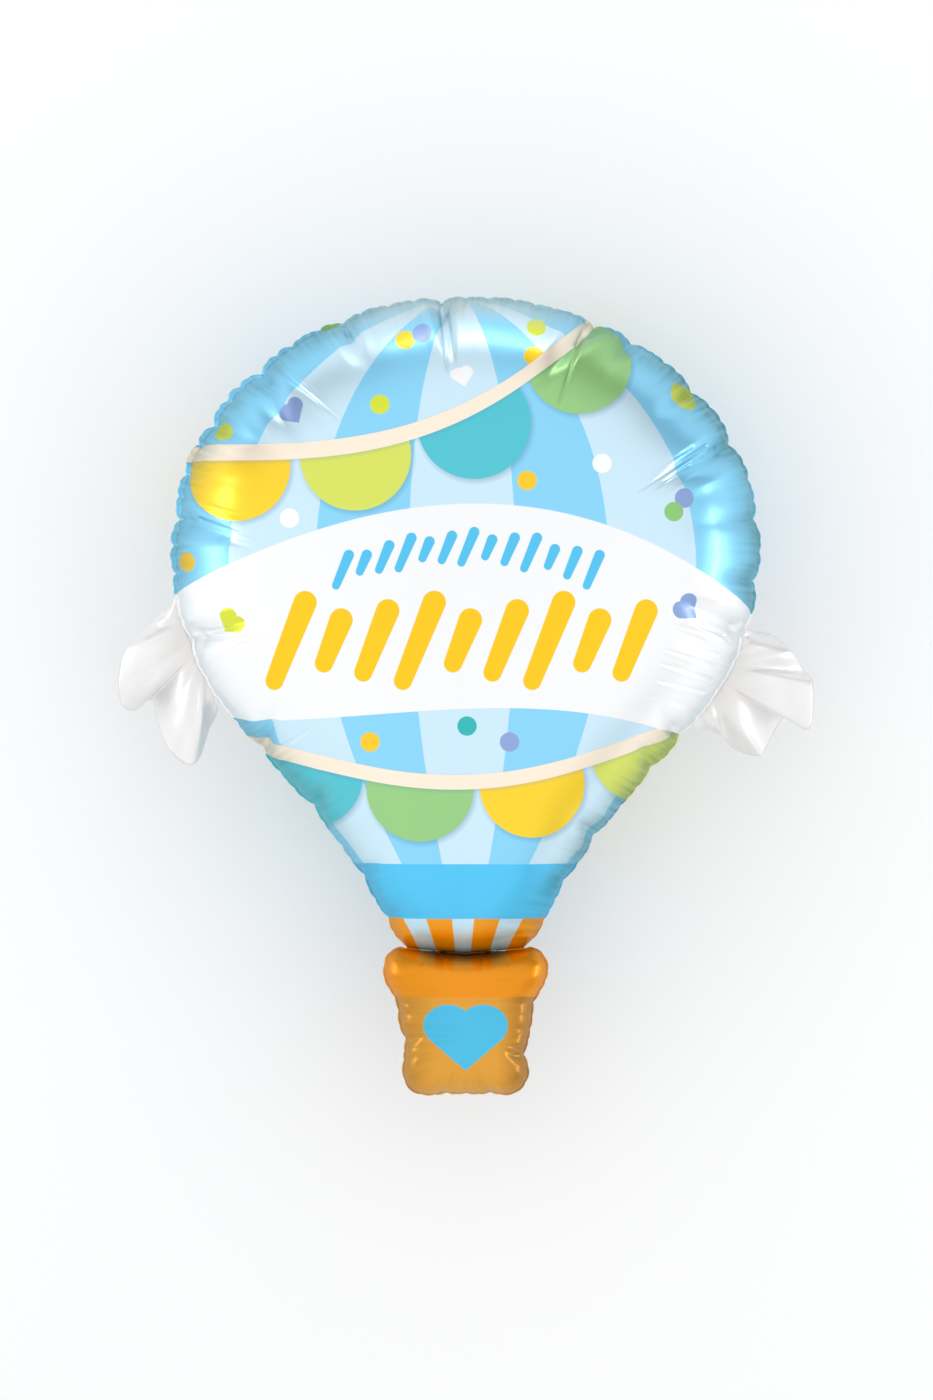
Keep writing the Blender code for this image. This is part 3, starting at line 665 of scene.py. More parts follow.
def gas_channels(across, along):
    """Height that the two small channels add where they cross the weld at the neck."""
    weld = BASKET_LENGTH - NECK_RISE * (1.0 - (across / NECK_HALF_WIDTH) ** 2)
    sideways = np.exp(-(((np.abs(across) - CHANNEL_OFFSET) / CHANNEL_HALF_WIDTH) ** 2))
    return CHANNEL_HEIGHT * sideways * np.exp(-(((along - weld) / CHANNEL_HALF_WIDTH) ** 2))


def lobe_bulge(along, seam, places):
    """How far the seam swells out between one crease and the next."""
    stops = np.array([0.0, *sorted([*places, seam.neck]), seam.length])
    after = np.clip(np.searchsorted(stops, along, side="right"), 1, len(stops) - 1)
    gap = stops[after] - stops[after - 1]
    share = np.clip((along - stops[after - 1]) / gap, 0.0, 1.0)
    return np.minimum(LOBE_BULGE * gap, LOBE_BULGE_MOST) * np.sin(math.pi * share)


def crease_depth(along, seam, side, inward, ring):
    """How deep the creases are at a length along the seam and a distance in from it."""
    depth = np.zeros(np.broadcast(along, inward).shape)
    for crease_side, place, reach, deep, half_width, lean in CREASES:
        if crease_side != side:
            continue
        sideways = (along - place * seam.length - lean * inward) * np.maximum(ring, 0.3)
        offset = np.abs(sideways) / (half_width * (1.0 - 0.5 * np.minimum(inward / reach, 1)))
        valley = np.exp(-(offset**CREASE_EDGE)) - CREASE_SHOULDER * np.exp(-((offset - 2.2) ** 2))
        depth += deep * valley * (1.0 - smooth_step(inward / reach))
    return depth * smooth_step(np.minimum(along, seam.length - along) / CREASE_FREE_END)


def seam_character(seam, loop, item):
    """One item of the seam's character at places round the loop."""
    places = [row[0] for row in SEAM_CHARACTER]
    return np.interp(loop / seam.length, places, [row[item] for row in SEAM_CHARACTER])


def pucker_height(seam, loop, inward):
    """Height of the puckers at a place round the loop and a distance in from the seam."""
    height = np.zeros(np.broadcast(loop, inward).shape)
    for i, (valleys, (_, tall, reach)) in enumerate(zip(seam.pucker_sets, PUCKER_SETS)):
        ends = np.append(valleys, valleys[0] + 2 * seam.length)
        place = (loop - ends[0]) % (2 * seam.length) + ends[0]
        after = np.clip(np.searchsorted(ends, place, side="right"), 1, len(ends) - 1)
        gap = ends[after] - ends[after - 1]
        share = (place - ends[after - 1]) / gap
        lobe = 1.0 - np.abs(2.0 * share - 1.0) ** 2.2 - PUCKER_CREST
        strength = tall * gap * seam_character(seam, loop, i + 1)
        height = height + strength * lobe * np.exp(-inward / (reach * gap))
    return height


def crinkle_height(seam, loop, inward):
    """Height of the many small short folds beside the seam."""
    chance = np.random.default_rng(RANDOM_SEED + 1)
    height = np.zeros(np.broadcast(loop, inward).shape)
    for _ in range(CRINKLES):
        place = chance.uniform(-1, 1) * seam.length
        start, reach, lean, half_width, deep = (chance.uniform(*ends) for ends in CRINKLE_RANGES)
        offset = (loop - place + seam.length) % (2 * seam.length) - seam.length
        rows = np.abs(offset[:, 0]) < CRINKLE_SPAN
        if abs(abs(place) - seam.neck) < CRINKLE_NECK_GAP or not rows.any():
            continue
        near = inward[rows]
        across = offset[rows] - lean * (near - start)
        share = np.clip((near - start) / reach, 0.0, 1.0)
        height[rows] -= deep * np.exp(-((across / half_width) ** 2)) * np.sin(math.pi * share)
    return height


def along_fold(x, y, fold):
    """Places as a share of a fold's length, a distance across it and one past its ends."""
    (x0, y0), (x1, y1) = fold[:2]
    length = math.hypot(x1 - x0, y1 - y0)
    ux, uy = (x1 - x0) / length, (y1 - y0) / length
    run = ((x - x0) * ux + (y - y0) * uy) / length
    past = np.maximum(np.maximum(-run, run - 1.0), 0.0) * length
    return run, (y - y0) * ux - (x - x0) * uy, past


def fold_height(x, y, folds):
    """Height of the sharp folds at places on a panel, each a valley with a ridge beside it."""
    height = np.zeros_like(x)
    for fold in folds:
        run, across, past = along_fold(x, y, fold)
        deep, half_width = fold[2] * FOLD_DEPTH_SHARE, fold[3] * FOLD_WIDTH_SHARE
        width = half_width * (1.1 - 0.5 * np.clip(run, 0.0, 1.0))
        valley = np.exp(-(np.abs(across / width) ** 1.25))
        ridge = np.exp(-(((across - 2.0 * width) / (1.1 * width)) ** 2))
        fade = (1.0 - 0.75 * np.clip(run, 0.0, 1.0)) * np.exp(-((past / half_width) ** 2))
        height += deep * (0.55 * ridge - valley) * fade
    return height


def soft_waves(x, y):
    """Height of the slow waves of the whole skin, which bend its reflections."""
    chance = np.random.default_rng(RANDOM_SEED + 2)
    height = np.zeros_like(x)
    for _ in range(WAVES):
        turn, phase = chance.uniform(0, 2 * math.pi, 2)
        pitch = chance.uniform(*WAVE_PITCH)
        run = (x * math.cos(turn) + y * math.sin(turn)) * 2 * math.pi / pitch
        height += np.sin(run + phase) * pitch
    return height / np.abs(height).max() * WAVINESS


def ring_turns(rings):
    """Turns from the centre line (0) to the seam (a right angle), evenly spaced over the skin."""
    turn = np.linspace(0.0, math.pi / 2, CURVE_SAMPLES)
    across = ENVELOPE_HALF_WIDTH * np.sin(turn) ** (2.0 / DOME_ROUNDNESS)
    up = ENVELOPE_THICKNESS / 2 * np.cos(turn)
    arc = np.concatenate([[0.0], np.cumsum(np.hypot(np.diff(across), np.diff(up)))])
    return np.interp(np.linspace(0.0, arc[-1], rings + 1), arc, turn)


def column_places(start, end, columns, neck):
    """Lengths along the seam for a chamber's columns, closer together near the neck."""
    along = np.linspace(start, end, CURVE_SAMPLES)
    density = 1.0 + 1.5 * np.exp(-(((along - neck) / 0.02) ** 2))
    run = np.concatenate([[0.0], np.cumsum((density[1:] + density[:-1]) / 2)])
    return np.interp(np.linspace(0.0, run[-1], columns + 1), run, along)


class PanelHalf:
    """One half of a chamber's skin as rows of points from the centre line out to the seam."""

    def __init__(self, seam, side, face, chamber, columns, rings, folds):
        self.seam, self.side, self.face = seam, side, face
        ends = (0.0, seam.neck) if chamber == "basket" else (seam.neck, seam.length)
        self.along = column_places(*ends, columns, seam.neck)[:, None]
        self.loop = side * self.along
        self.margin_width = seam_character(seam, self.loop, 4)
        turn = ring_turns(rings)[None, :]
        outline, self.outward = seam.at(self.along[:, 0])
        centre = seam.centre_at(self.along[:, 0])
        places = [place * seam.length for s, place, *_ in CREASES if s == side]
        grow = lobe_bulge(self.along[:, 0], seam, places)
        near_neck = smooth_step(np.abs(self.along[:, 0] - seam.neck) / NECK_CALM)
        grow = (grow + SEAM_MARGIN - self.margin_width[:, 0]) * near_neck
        mirror_span = np.linalg.norm(outline - centre, axis=1)[:, None]
        outline = outline + self.outward * grow[:, None]
        share = smooth_step((centre[:, 1] - BASKET_LENGTH) / (2 * RIM_LENGTH))
        roundness = BASKET_ROUNDNESS + (DOME_ROUNDNESS - BASKET_ROUNDNESS) * share
        ring = np.sin(turn) ** (2.0 / roundness[:, None])
        flat = centre[:, None] + (outline - centre)[:, None] * ring[..., None]
        span = np.linalg.norm(outline - centre, axis=1)[:, None]
        inward = span * (1.0 - ring)
        high = half_thickness(self.beyond_trench(centre[:, 1], chamber))[:, None]
        up = high * np.cos(turn)
        even = np.linspace(1.0, 0.0, rings + 1)[None, :]
        depth = SKIN_STRETCH * np.hypot(mirror_span, high) * even
        channels = gas_channels(flat[..., 0], flat[..., 1])
        up = np.maximum(up, channels * smooth_step(inward / CHANNEL_REACH))
        self.points = np.concatenate([flat, up[..., None]], axis=-1)
        steps = np.linalg.norm(np.diff(self.points, axis=1), axis=2)
        arc = np.concatenate([np.zeros_like(self.along), np.cumsum(steps, axis=1)], axis=1)
        self.arc_in = arc[:, -1:] - arc
        self.printed = self.film_places(centre, outline, ring, steps)
        self.overhang()
        self.points += SHIFT * np.array((0.0, 1.0, 0.0))
        self.printed[..., 1] += SHIFT[1]
        self.levels = self.mesh_levels(depth, folds)
        self.raise_folds(inward, ring, folds)
        self.points[..., 2] = np.maximum(self.points[..., 2], 0.0) + SEAM_THICKNESS / 2
        self.turn_over()

    def mesh_levels(self, depth, folds):
        """How many times the coarse grid is halved at each point."""
        x, y = self.side * self.points[..., 0], self.points[..., 1]
        away, fine_away = np.full_like(x, 1.0), np.full_like(x, 1.0)
        for fold in folds:
            distance = np.hypot(*along_fold(x, y, fold)[1:])
            if abs(fold[0][0]) < NEAR_CENTRE:
                distance = np.minimum(distance, np.hypot(*along_fold(-x, y, fold)[1:]))
            away = np.minimum(away, distance)
            if fold[2] >= FINE_FOLD_DEPTH:
                fine_away = np.minimum(fine_away, distance)
        levels = np.zeros(x.shape, dtype=int)
        for level, (seam_reach, fold_reach) in enumerate(zip(SEAM_LEVELS, FOLD_LEVELS), 1):
            near_fold = away
            if level > SEAM_MESH_LEVEL:
                near_fold = np.where(depth > COARSE_RIM, fine_away, 1.0)
            levels[(depth < seam_reach) | (near_fold < fold_reach)] = level
        return levels

    def film_places(self, centre, outline, ring, steps):
        """Where each point was on the flat printed film, which is longer than its shadow."""
        span = np.linalg.norm(outline - centre, axis=1)[:, None]
        flat_steps = np.diff(ring, axis=1)
        stretch = steps / np.maximum(flat_steps * span, 1e-6) - 1.0
        upper = smooth_step((centre[:, 1:] + SHIFT[1] + 0.02) / 0.2)
        share = FILM_FORESHORTENING * upper * smooth_step((ring[:, 1:] - 0.75) / 0.25)
        film = flat_steps * (1.0 + stretch * share)
        film = np.concatenate([np.zeros_like(ring[:, :1]), np.cumsum(film, axis=1)], axis=1)
        return centre[:, None] + (outline - centre)[:, None] * film[..., None]

    def beyond_trench(self, place, chamber):
        """Places along the centre line with the ones near the neck moved onto the weld."""
        neck = BASKET_LENGTH - NECK_RISE
        trench, reach = NECK_TRENCHES[chamber]
        away = np.abs(place - neck)
        moved = np.maximum(away - trench, 0.0) * reach / (reach - trench)
        return neck + np.sign(place - neck) * np.where(away < reach, moved, away)

    def overhang(self):
        """Leans the skin over the weld at the neck."""
        towards = 1.0 if self.along.mean() < self.seam.neck else -1.0
        rise = np.clip(self.points[..., 2] / NECK_OVERHANG_HEIGHT, 0.0, 1.0)
        away = np.abs(self.along - self.seam.neck)
        near = np.exp(-((away / NECK_LEAN_REACH) ** 2)) * smooth_step(away / NECK_LEAN_FREE)
        self.points[..., 1] += towards * NECK_OVERHANG * np.sin(math.pi * rise) * near

    def raise_folds(self, inward, ring, folds):
        """Moves the skin along its normals by its creases, puckers, small crinkles and folds."""
        x, y = self.side * self.points[..., 0], self.points[..., 1]
        dent = crease_depth(self.along, self.seam, self.side, inward, ring)
        dent *= CREASE_NOTCH + (1.0 - CREASE_NOTCH) * smooth_step(inward / NOTCH_REACH)
        height = pucker_height(self.seam, self.loop, self.arc_in) - dent
        height += crinkle_height(self.seam, self.loop, self.arc_in)
        height = height * smooth_step(ring / CENTRE_CALM) + soft_waves(x, y)
        height += fold_height(x, y, folds) * smooth_step(self.arc_in / FOLD_FREE_END)
        away = np.abs(self.along - self.seam.neck)
        risen = smooth_step((away + NECK_ARC_SHARE * self.arc_in) / NECK_CALM)
        height *= NECK_LEAST_RELIEF + (1.0 - NECK_LEAST_RELIEF) * risen
        height *= smooth_step(away / NECK_WELD_CALM)
        self.seam_height = height[:, -1]
        self.points += self.normals() * height[..., None]

    def normals(self):
        """Unit normals of the smooth skin, pointing out."""
        down = np.gradient(self.points, axis=0)
        out = np.gradient(self.points, axis=1)
        normal = np.cross(out, down)
        if self.along[0, 0] == 0.0:
            normal[0, :, 0] = 0.0
        if self.along[-1, 0] == self.seam.length:
            normal[-1, :, 0] = 0.0
        normal[:, 0, 0] = 0.0
        normal[:, -1, 2] = 0.0
        normal[:, -1, :2] = self.outward
        length = np.linalg.norm(normal, axis=-1)[..., None]
        return normal / np.maximum(length, 1e-9)

    def turn_over(self):
        """Turns the half to its own side and face of the balloon, and sets it on the floor."""
        self.points = self.points * np.array((self.side, 1.0, self.face))
        self.printed[..., 0] *= self.side
        self.outward = self.outward * np.array((self.side, 1.0))
        self.points[..., 2] = np.maximum(self.points[..., 2] + REST_HEIGHT, 0.0)
        place = [np.broadcast_to(self.loop, self.arc_in.shape), self.arc_in]
        self.seam_place = np.stack([*place, np.full_like(self.arc_in, self.face)], axis=-1)

    def margin(self):
        """Points of the welded margin: over its front, round its edge and back under the skin."""
        wide = np.minimum(self.margin_width, SEAM_MARGIN)
        wide = wide * (0.3 + 0.7 * smooth_step(np.abs(self.along - self.seam.neck) / NECK_CALM))
        shares = np.array((0.5, 1.0, 1.0, 0.5, 0.0))[None, :]
        width = np.maximum(wide + MARGIN_SWELL * self.seam_height[:, None], MARGIN_LEAST) * shares
        points = np.repeat(self.points[:, -1:], 5, axis=1)
        out = self.outward[:, None] * width[..., None]
        points[..., :2] += out
        wave = MARGIN_WAVE * self.seam_height[:, None] * shares
        faces = np.array((0.5, 0.5, -0.5, -0.5, -0.5))[None, :] * SEAM_THICKNESS
        points[..., 2] = REST_HEIGHT + wave + faces
        film = on_plane(self.printed[:, -1:] + out)
        return points, film, np.repeat(self.seam_place[:, -1:], 5, axis=1)


def add_grid(bm, points, values, flip, cells=None, levels=None):
    """Adds a grid of faces with its points and values.

    values pairs each layer with its rows of vectors. cells is the grid's first number of columns and
    rings, and levels says how many times it is halved at each point.
    """
    rows, columns = points.shape[:2]
    cells = cells or (rows - 1, columns - 1)
    placed = bm.verts.layers.int["placed"]
    bmesh.ops.create_grid(bm, x_segments=cells[1], y_segments=cells[0], size=1.0)

    def node(place):
        column = round((place.x + 1.0) / 2.0 * (columns - 1))
        return round((place.y + 1.0) / 2.0 * (rows - 1)), column

    for level in range(len(SEAM_LEVELS) if cells != (rows - 1, columns - 1) else 0):
        faces = [face for face in bm.faces if not face.verts[0][placed]]
        near = [f for f in faces if levels[node(f.calc_center_median())] > level]
        edges = list({edge for face in near for edge in face.edges})
        bmesh.ops.subdivide_edges(bm, edges=edges, cuts=1, use_grid_fill=True)
    verts = [vertex for vertex in bm.verts if not vertex[placed]]
    for vertex in verts:
        place = node(vertex.co)
        vertex.co, vertex[placed] = points[place], 1
        for layer, vectors in values:
            vertex[layer] = vectors[place]
    if flip:
        faces = {face for vertex in verts for face in vertex.link_faces}
        bmesh.ops.reverse_faces(bm, faces=list(faces))


def object_from(bm, name, material):
    """Makes an object of the mesh with its material, smooth shaded."""
    bmesh.ops.remove_doubles(bm, verts=bm.verts, dist=MERGE_DISTANCE)
    mesh = bpy.data.meshes.new(name)
    bm.to_mesh(mesh)
    bm.free()
    mesh.materials.append(material)
    mesh.shade_smooth()
    made = bpy.data.objects.new(name, mesh)
    bpy.context.scene.collection.objects.link(made)
    return made


def join_halves(halves, end):
    """Gives both halves the same points on the centre line and on the column at its end."""
    for shared in (np.s_[:, 0], end):
        middle = (halves[0].points[shared] + halves[1].points[shared]) / 2
        for half in halves:
            half.points[shared] = middle


def on_plane(film):
    """Places on the film as vectors."""
    return np.concatenate([film, 0 * film[..., :1]], axis=-1)


def make_chamber_skin(name, face, chamber, grid, folds, material):
    """One chamber's skin on one face: both halves and, on the front, the welded margin."""
    seam = Seam()
    bm = bmesh.new()
    film_layer = bm.verts.layers.float_vector.new("film_place")
    seam_layer = bm.verts.layers.float_vector.new("seam_place")
    bm.verts.layers.int.new("placed")
    columns, rings = (count * 2 ** len(SEAM_LEVELS) for count in grid)
    halves = [PanelHalf(seam, side, face, chamber, columns, rings, folds) for side in (1, -1)]
    join_halves(halves, 0 if chamber == "basket" else -1)
    for half in halves:
        rows = (half.points, on_plane(half.printed), half.seam_place)
        flip = half.side * face < 0
        add_grid(bm, rows[0], ((film_layer, rows[1]), (seam_layer, rows[2])), flip, grid, half.levels)
        if face > 0:
            finest = 2 ** (len(SEAM_LEVELS) - SEAM_MESH_LEVEL)
            pairs = zip(rows, half.margin())
            rows = [np.concatenate([skin[:, -1:], edge], axis=1)[::finest] for skin, edge in pairs]
            add_grid(bm, rows[0], ((film_layer, rows[1]), (seam_layer, rows[2])), flip)
    return object_from(bm, name, material)


class Value:
    """A socket whose Python operators add the nodes that work them out."""

    def __init__(self, finish, socket):
        self.finish, self.socket = finish, socket

    def math(self, operation, *values):
        inputs = dict(enumerate((self, *values)))
        return self.finish.node("ShaderNodeMath", {"operation": operation}, inputs)

    def __add__(self, other):
        return self.math("ADD", other)

    def __sub__(self, other):
        return self.math("SUBTRACT", other)

    def __rsub__(self, other):
        return self.finish.node("ShaderNodeMath", {"operation": "SUBTRACT"}, {0: other, 1: self})

    def __mul__(self, other):
        return self.math("MULTIPLY", other)

    def __truediv__(self, other):
        return self.math("DIVIDE", other)

    def __pow__(self, other):
        return self.math("POWER", other)

    def __abs__(self):
        return self.math("ABSOLUTE")

    __radd__, __rmul__ = __add__, __mul__

    def most(self, other):
        return self.math("MAXIMUM", other)

    def least(self, other):
        return self.math("MINIMUM", other)


class Finish:
    """A material that is built up with Python expressions on its sockets."""

    def __init__(self, name):
        self.material = bpy.data.materials.new(name)
        self.material.use_nodes = True
        self.tree = self.material.node_tree
        self.shader = self.tree.nodes["Principled BSDF"]

    def node(self, kind, settings=None, inputs=None, output=0):
        """Adds a node, sets it up, gives its sockets their values or links, and returns an output."""
        made = self.tree.nodes.new(kind)
        for name, value in (settings or {}).items():
            setattr(made, name, value)
        for key, value in (inputs or {}).items():
            self.feed(made.inputs[key], value)
        return Value(self, made.outputs[output])

    def feed(self, socket, value):
        """Links a value to a socket, or sets the socket to a number or colour."""
        if isinstance(value, Value):
            self.tree.links.new(value.socket, socket)
        else:
            socket.default_value = value

    def set(self, **sockets):
        """Feeds sockets of the shader, named with underscores for spaces."""
        for name, value in sockets.items():
            title = name.replace("_", " ")
            self.feed(self.shader.inputs[title], value)

    def attribute(self, name):
        """The numbers of a vector attribute of the mesh, one by one."""
        vector = self.node("ShaderNodeAttribute", {"attribute_name": name}, output=1)
        return vector, *(
            self.node("ShaderNodeSeparateXYZ", None, {0: vector}, i) for i in range(2)
        )

    def mix(self, share, first, second, blend="MIX"):
        """The first colour at share 0 and, at share 1, the second or the two blended."""
        colours = [c if isinstance(c, Value) else (*c, 1.0) for c in (first, second)]
        settings = {"data_type": "RGBA", "blend_type": blend}
        return self.node("ShaderNodeMix", settings, {0: share, 6: colours[0], 7: colours[1]}, output=2)

    def ranged(self, value, ends, smooth=False):
        """A value mapped to a range, on a straight or a smooth rise."""
        settings = {"interpolation_type": "SMOOTHSTEP"} if smooth else None
        return self.node("ShaderNodeMapRange", settings, dict(enumerate((value, *ends))))

    def within(self, distance, soft=0.0004, most=1.0):
        """most where a signed distance is below 0 and 0 where it is above, softened at the edge."""
        return self.ranged(distance, (-soft, soft, most, 0.0))

    def noise(self, place, scale, detail):
        """Noise at a place, with one scale for all axes or a stretch for each."""
        if isinstance(scale, tuple):
            place = self.node("ShaderNodeVectorMath", {"operation": "MULTIPLY"}, {0: place, 1: scale})
            scale = 1.0
        inputs = {"Vector": place, "Scale": scale, "Detail": detail}
        return self.node("ShaderNodeTexNoise", None, inputs)

    def bump(self, height):
        """A normal that is bent by a height in metres."""
        inputs = {"Height": height, "Distance": 1.0, "Strength": 1.0}
        return self.node("ShaderNodeBump", None, inputs)

    def curve(self, places, x, degree):
        """The y of a smooth curve fitted to (x, y) places, at x."""
        powers = np.polyfit(*np.array(places).T, degree)
        value = float(powers[0])
        for power in powers[1:]:
            value = x.math("MULTIPLY_ADD", value, float(power))
        return value

    def far(self, x, y, middle):
        """Distance of (x, y) from a middle."""
        across, up = x - middle[0], y - middle[1]
        return (across * across + up * up).math("SQRT")


class Sky(Finish):
    """The studio's light from all round, built up in the same way."""

    def __init__(self, name):
        self.world = bpy.data.worlds.new(name)
        self.world.use_nodes = True
        self.tree = self.world.node_tree
        self.shader = self.tree.nodes["Background"]


class FilmPlaces:
    """Where a place seen from above the front is on the flat printed film."""

    def __init__(self):
        seam = Seam()
        halves = [
            PanelHalf(seam, side, 1, chamber, *FILM_SAMPLES, ())
            for side in (1, -1)
            for chamber in ("envelope", "basket")
        ]
        self.seen = np.concatenate([h.points[..., :2].reshape(-1, 2) for h in halves])
        self.film = np.concatenate([h.printed.reshape(-1, 2) for h in halves])

    def __call__(self, x, y):
        nearest = int(np.argmin(((self.seen - (x, y)) ** 2).sum(axis=1)))
        moved = self.film[nearest] - self.seen[nearest]
        return float(x + moved[0]), float(y + moved[1])


def heart_distance(finish, x, y, middle, width, turn, height=None):
    """Signed distance to a heart: a square on its corner with a half disc on each upper side."""
    side = width / HEART_WIDTH
    tall = HEART_HEIGHT * side
    across, up = x - middle[0], y - middle[1]
    if turn:
        c, s = math.cos(math.radians(turn)), math.sin(math.radians(turn))
        across, up = across * c + up * s, up * c - across * s
    squash = tall / height if height else 1.0
    up = up * squash + HEART_RISE * side
    across = abs(across)
    square = (across + abs(up)) * math.sqrt(0.5) - side / 2
    lobe = finish.far(across, up, (side * math.sqrt(0.125), side * math.sqrt(0.125))) - side / 2
    return square.least(lobe)


def stroke_distance(finish, x, y, low, high, low_radius, high_radius):
    """Signed distance to a tapered stroke with round ends."""
    along = (high[0] - low[0], high[1] - low[1])
    length = math.hypot(*along)
    ux, uy = along[0] / length, along[1] / length
    across, up = x - low[0], y - low[1]
    run = (across * ux + up * uy).most(0.0).least(length)
    off_x, off_y = across - run * ux, up - run * uy
    radius = run * ((high_radius - low_radius) / length) + low_radius
    return (off_x * off_x + off_y * off_y).math("SQRT") - radius


def stroke_row(finish, colour, paint, x, y, row):
    """Paints a row of slanted brush strokes."""
    first, last, middle_y, sag, count, heights, half_width, slant = row
    for i in range(count):
        share = 2.0 * i / (count - 1) - 1.0
        middle_x = (first + last) / 2 + share * (last - first) / 2
        centre_y = middle_y - sag * share * share
        tall = heights[i % len(heights)] - 2 * half_width
        low = (middle_x - slant * tall / 2, centre_y - tall / 2)
        high = (middle_x + slant * tall / 2, centre_y + tall / 2)
        distance = stroke_distance(finish, x, y, low, high, STROKE_TAPER * half_width, half_width)
        colour = finish.mix(finish.within(distance), colour, paint)
    return colour


def striped(finish, offset, edges, inks, soft=0.0004):
    """Stripes in two inks, the first in the middle, that change at each edge."""
    colour = finish.mix(0.0, ink(inks[0]), ink(inks[0]))
    for i, edge in enumerate(edges):
        colour = finish.mix(finish.within(edge - offset, soft), colour, ink(inks[(i + 1) % 2]))
    return colour


def print_ground(finish, x, y):
    """The print's ground: stripes, band, skirt, rim and basket, with painted shade at and below the rim
    and at the basket's sides.
    """
    offset = abs(x - (y * STRIPE_DRIFT[1] + STRIPE_DRIFT[0]))
    crown = (STRIPE_CROWN - y).most(0.0) ** STRIPE_CROWN_POWER
    spread = ((y - STRIPE_FOOT) * crown * STRIPE_SPREAD).most(0.001)
    edges = [spread * edge for edge in STRIPE_EDGES]
    colour = striped(finish, offset, edges, ("pale_blue", "sky_blue"))
    colour = finish.mix(finish.within(y - BAND_TOP), colour, ink("band_blue"))
    slope = abs((x - SKIRT_VANISHING[0]) / (y - SKIRT_VANISHING[1]).most(0.01))
    skirt = striped(finish, slope, SKIRT_EDGES, ("skirt_pale", "skirt_orange"), SKIRT_SOFTNESS)
    colour = finish.mix(finish.within(y - BAND_BOTTOM), colour, skirt)
    colour = finish.mix(finish.within(y - NECK_LINE, NECK_SOFTNESS), colour, ink("rim_orange"))
    # Painted shade at the top of the rim, in the trench under the envelope.
    fade = 1 - ((y * -1 + NECK_LINE).most(0.0) / NECK_SHADE_LENGTH).least(1.0)
    sides = finish.within(abs(x) - NECK_SHADE_HALF_WIDTH, NECK_SHADE_SOFTNESS)
    below = finish.within(y - NECK_LINE, NECK_SOFTNESS, NECK_SHADE_MOST)
    colour = finish.mix(fade**NECK_SHADE_POWER * sides * below, colour, ink("neck_brown"))
    below = finish.within(y - RIM_BOTTOM, RIM_SOFTNESS)
    colour = finish.mix(below, colour, ink("basket"))
    # A band of painted shade just below the rim, in the rim's orange.
    edge = finish.within(abs(y - (RIM_BOTTOM - RIM_SHADE_HALF_WIDTH)) - RIM_SHADE_HALF_WIDTH, RIM_SHADE_HALF_WIDTH, RIM_SHADE_MOST)
    colour = finish.mix(edge * below, colour, ink("rim_orange"))
    # Painted shade at the basket's sides, deeper on the right.
    right = finish.within(BASKET_SHADE_PLACE - x, BASKET_SHADE_SOFTNESS, BASKET_SHADE_RIGHT)
    left = finish.within(x + BASKET_SHADE_PLACE, BASKET_SHADE_SOFTNESS, BASKET_SHADE_LEFT)
    colour = finish.mix((right + left) * finish.within(y - RIM_BOTTOM), colour, ink("basket_shade"))
    height = bpy.context.scene.balloon_print.heart_height
    distance = heart_distance(finish, x, y, BASKET_HEART, BASKET_HEART_WIDTH, 0.0, height)
    return finish.mix(finish.within(distance), colour, ink("heart_blue"))


def hang_flags(finish, colour, x, y, flags, ribbon, on_film):
    """Paints half-round flags with soft shadows below a ribbon."""
    below = finish.within(y - ribbon)
    for middle_x, middle_y, radius, name in flags:
        middle = on_film(middle_x, middle_y)
        moved = [place + move for place, move in zip(middle, FLAG_SHADOW_MOVE)]
        shadow = finish.far(x, y, moved) - radius - FLAG_SHADOW_SPREAD
        shade = finish.within(shadow, FLAG_SHADOW_SOFTNESS, FLAG_SHADOW_MOST) * below
        colour = finish.mix(shade, colour, ink("shadow"))
        disc = finish.far(x, y, middle) - radius
        colour = finish.mix(finish.within(disc) * below, colour, ink(name))
    return colour


def paint_hearts(finish, colour, x, y, hearts, on_film):
    """Paints small hearts."""
    for middle_x, middle_y, width, turn, name in hearts:
        distance = heart_distance(finish, x, y, on_film(middle_x, middle_y), width, turn)
        colour = finish.mix(finish.within(distance), colour, ink(name))
    return colour


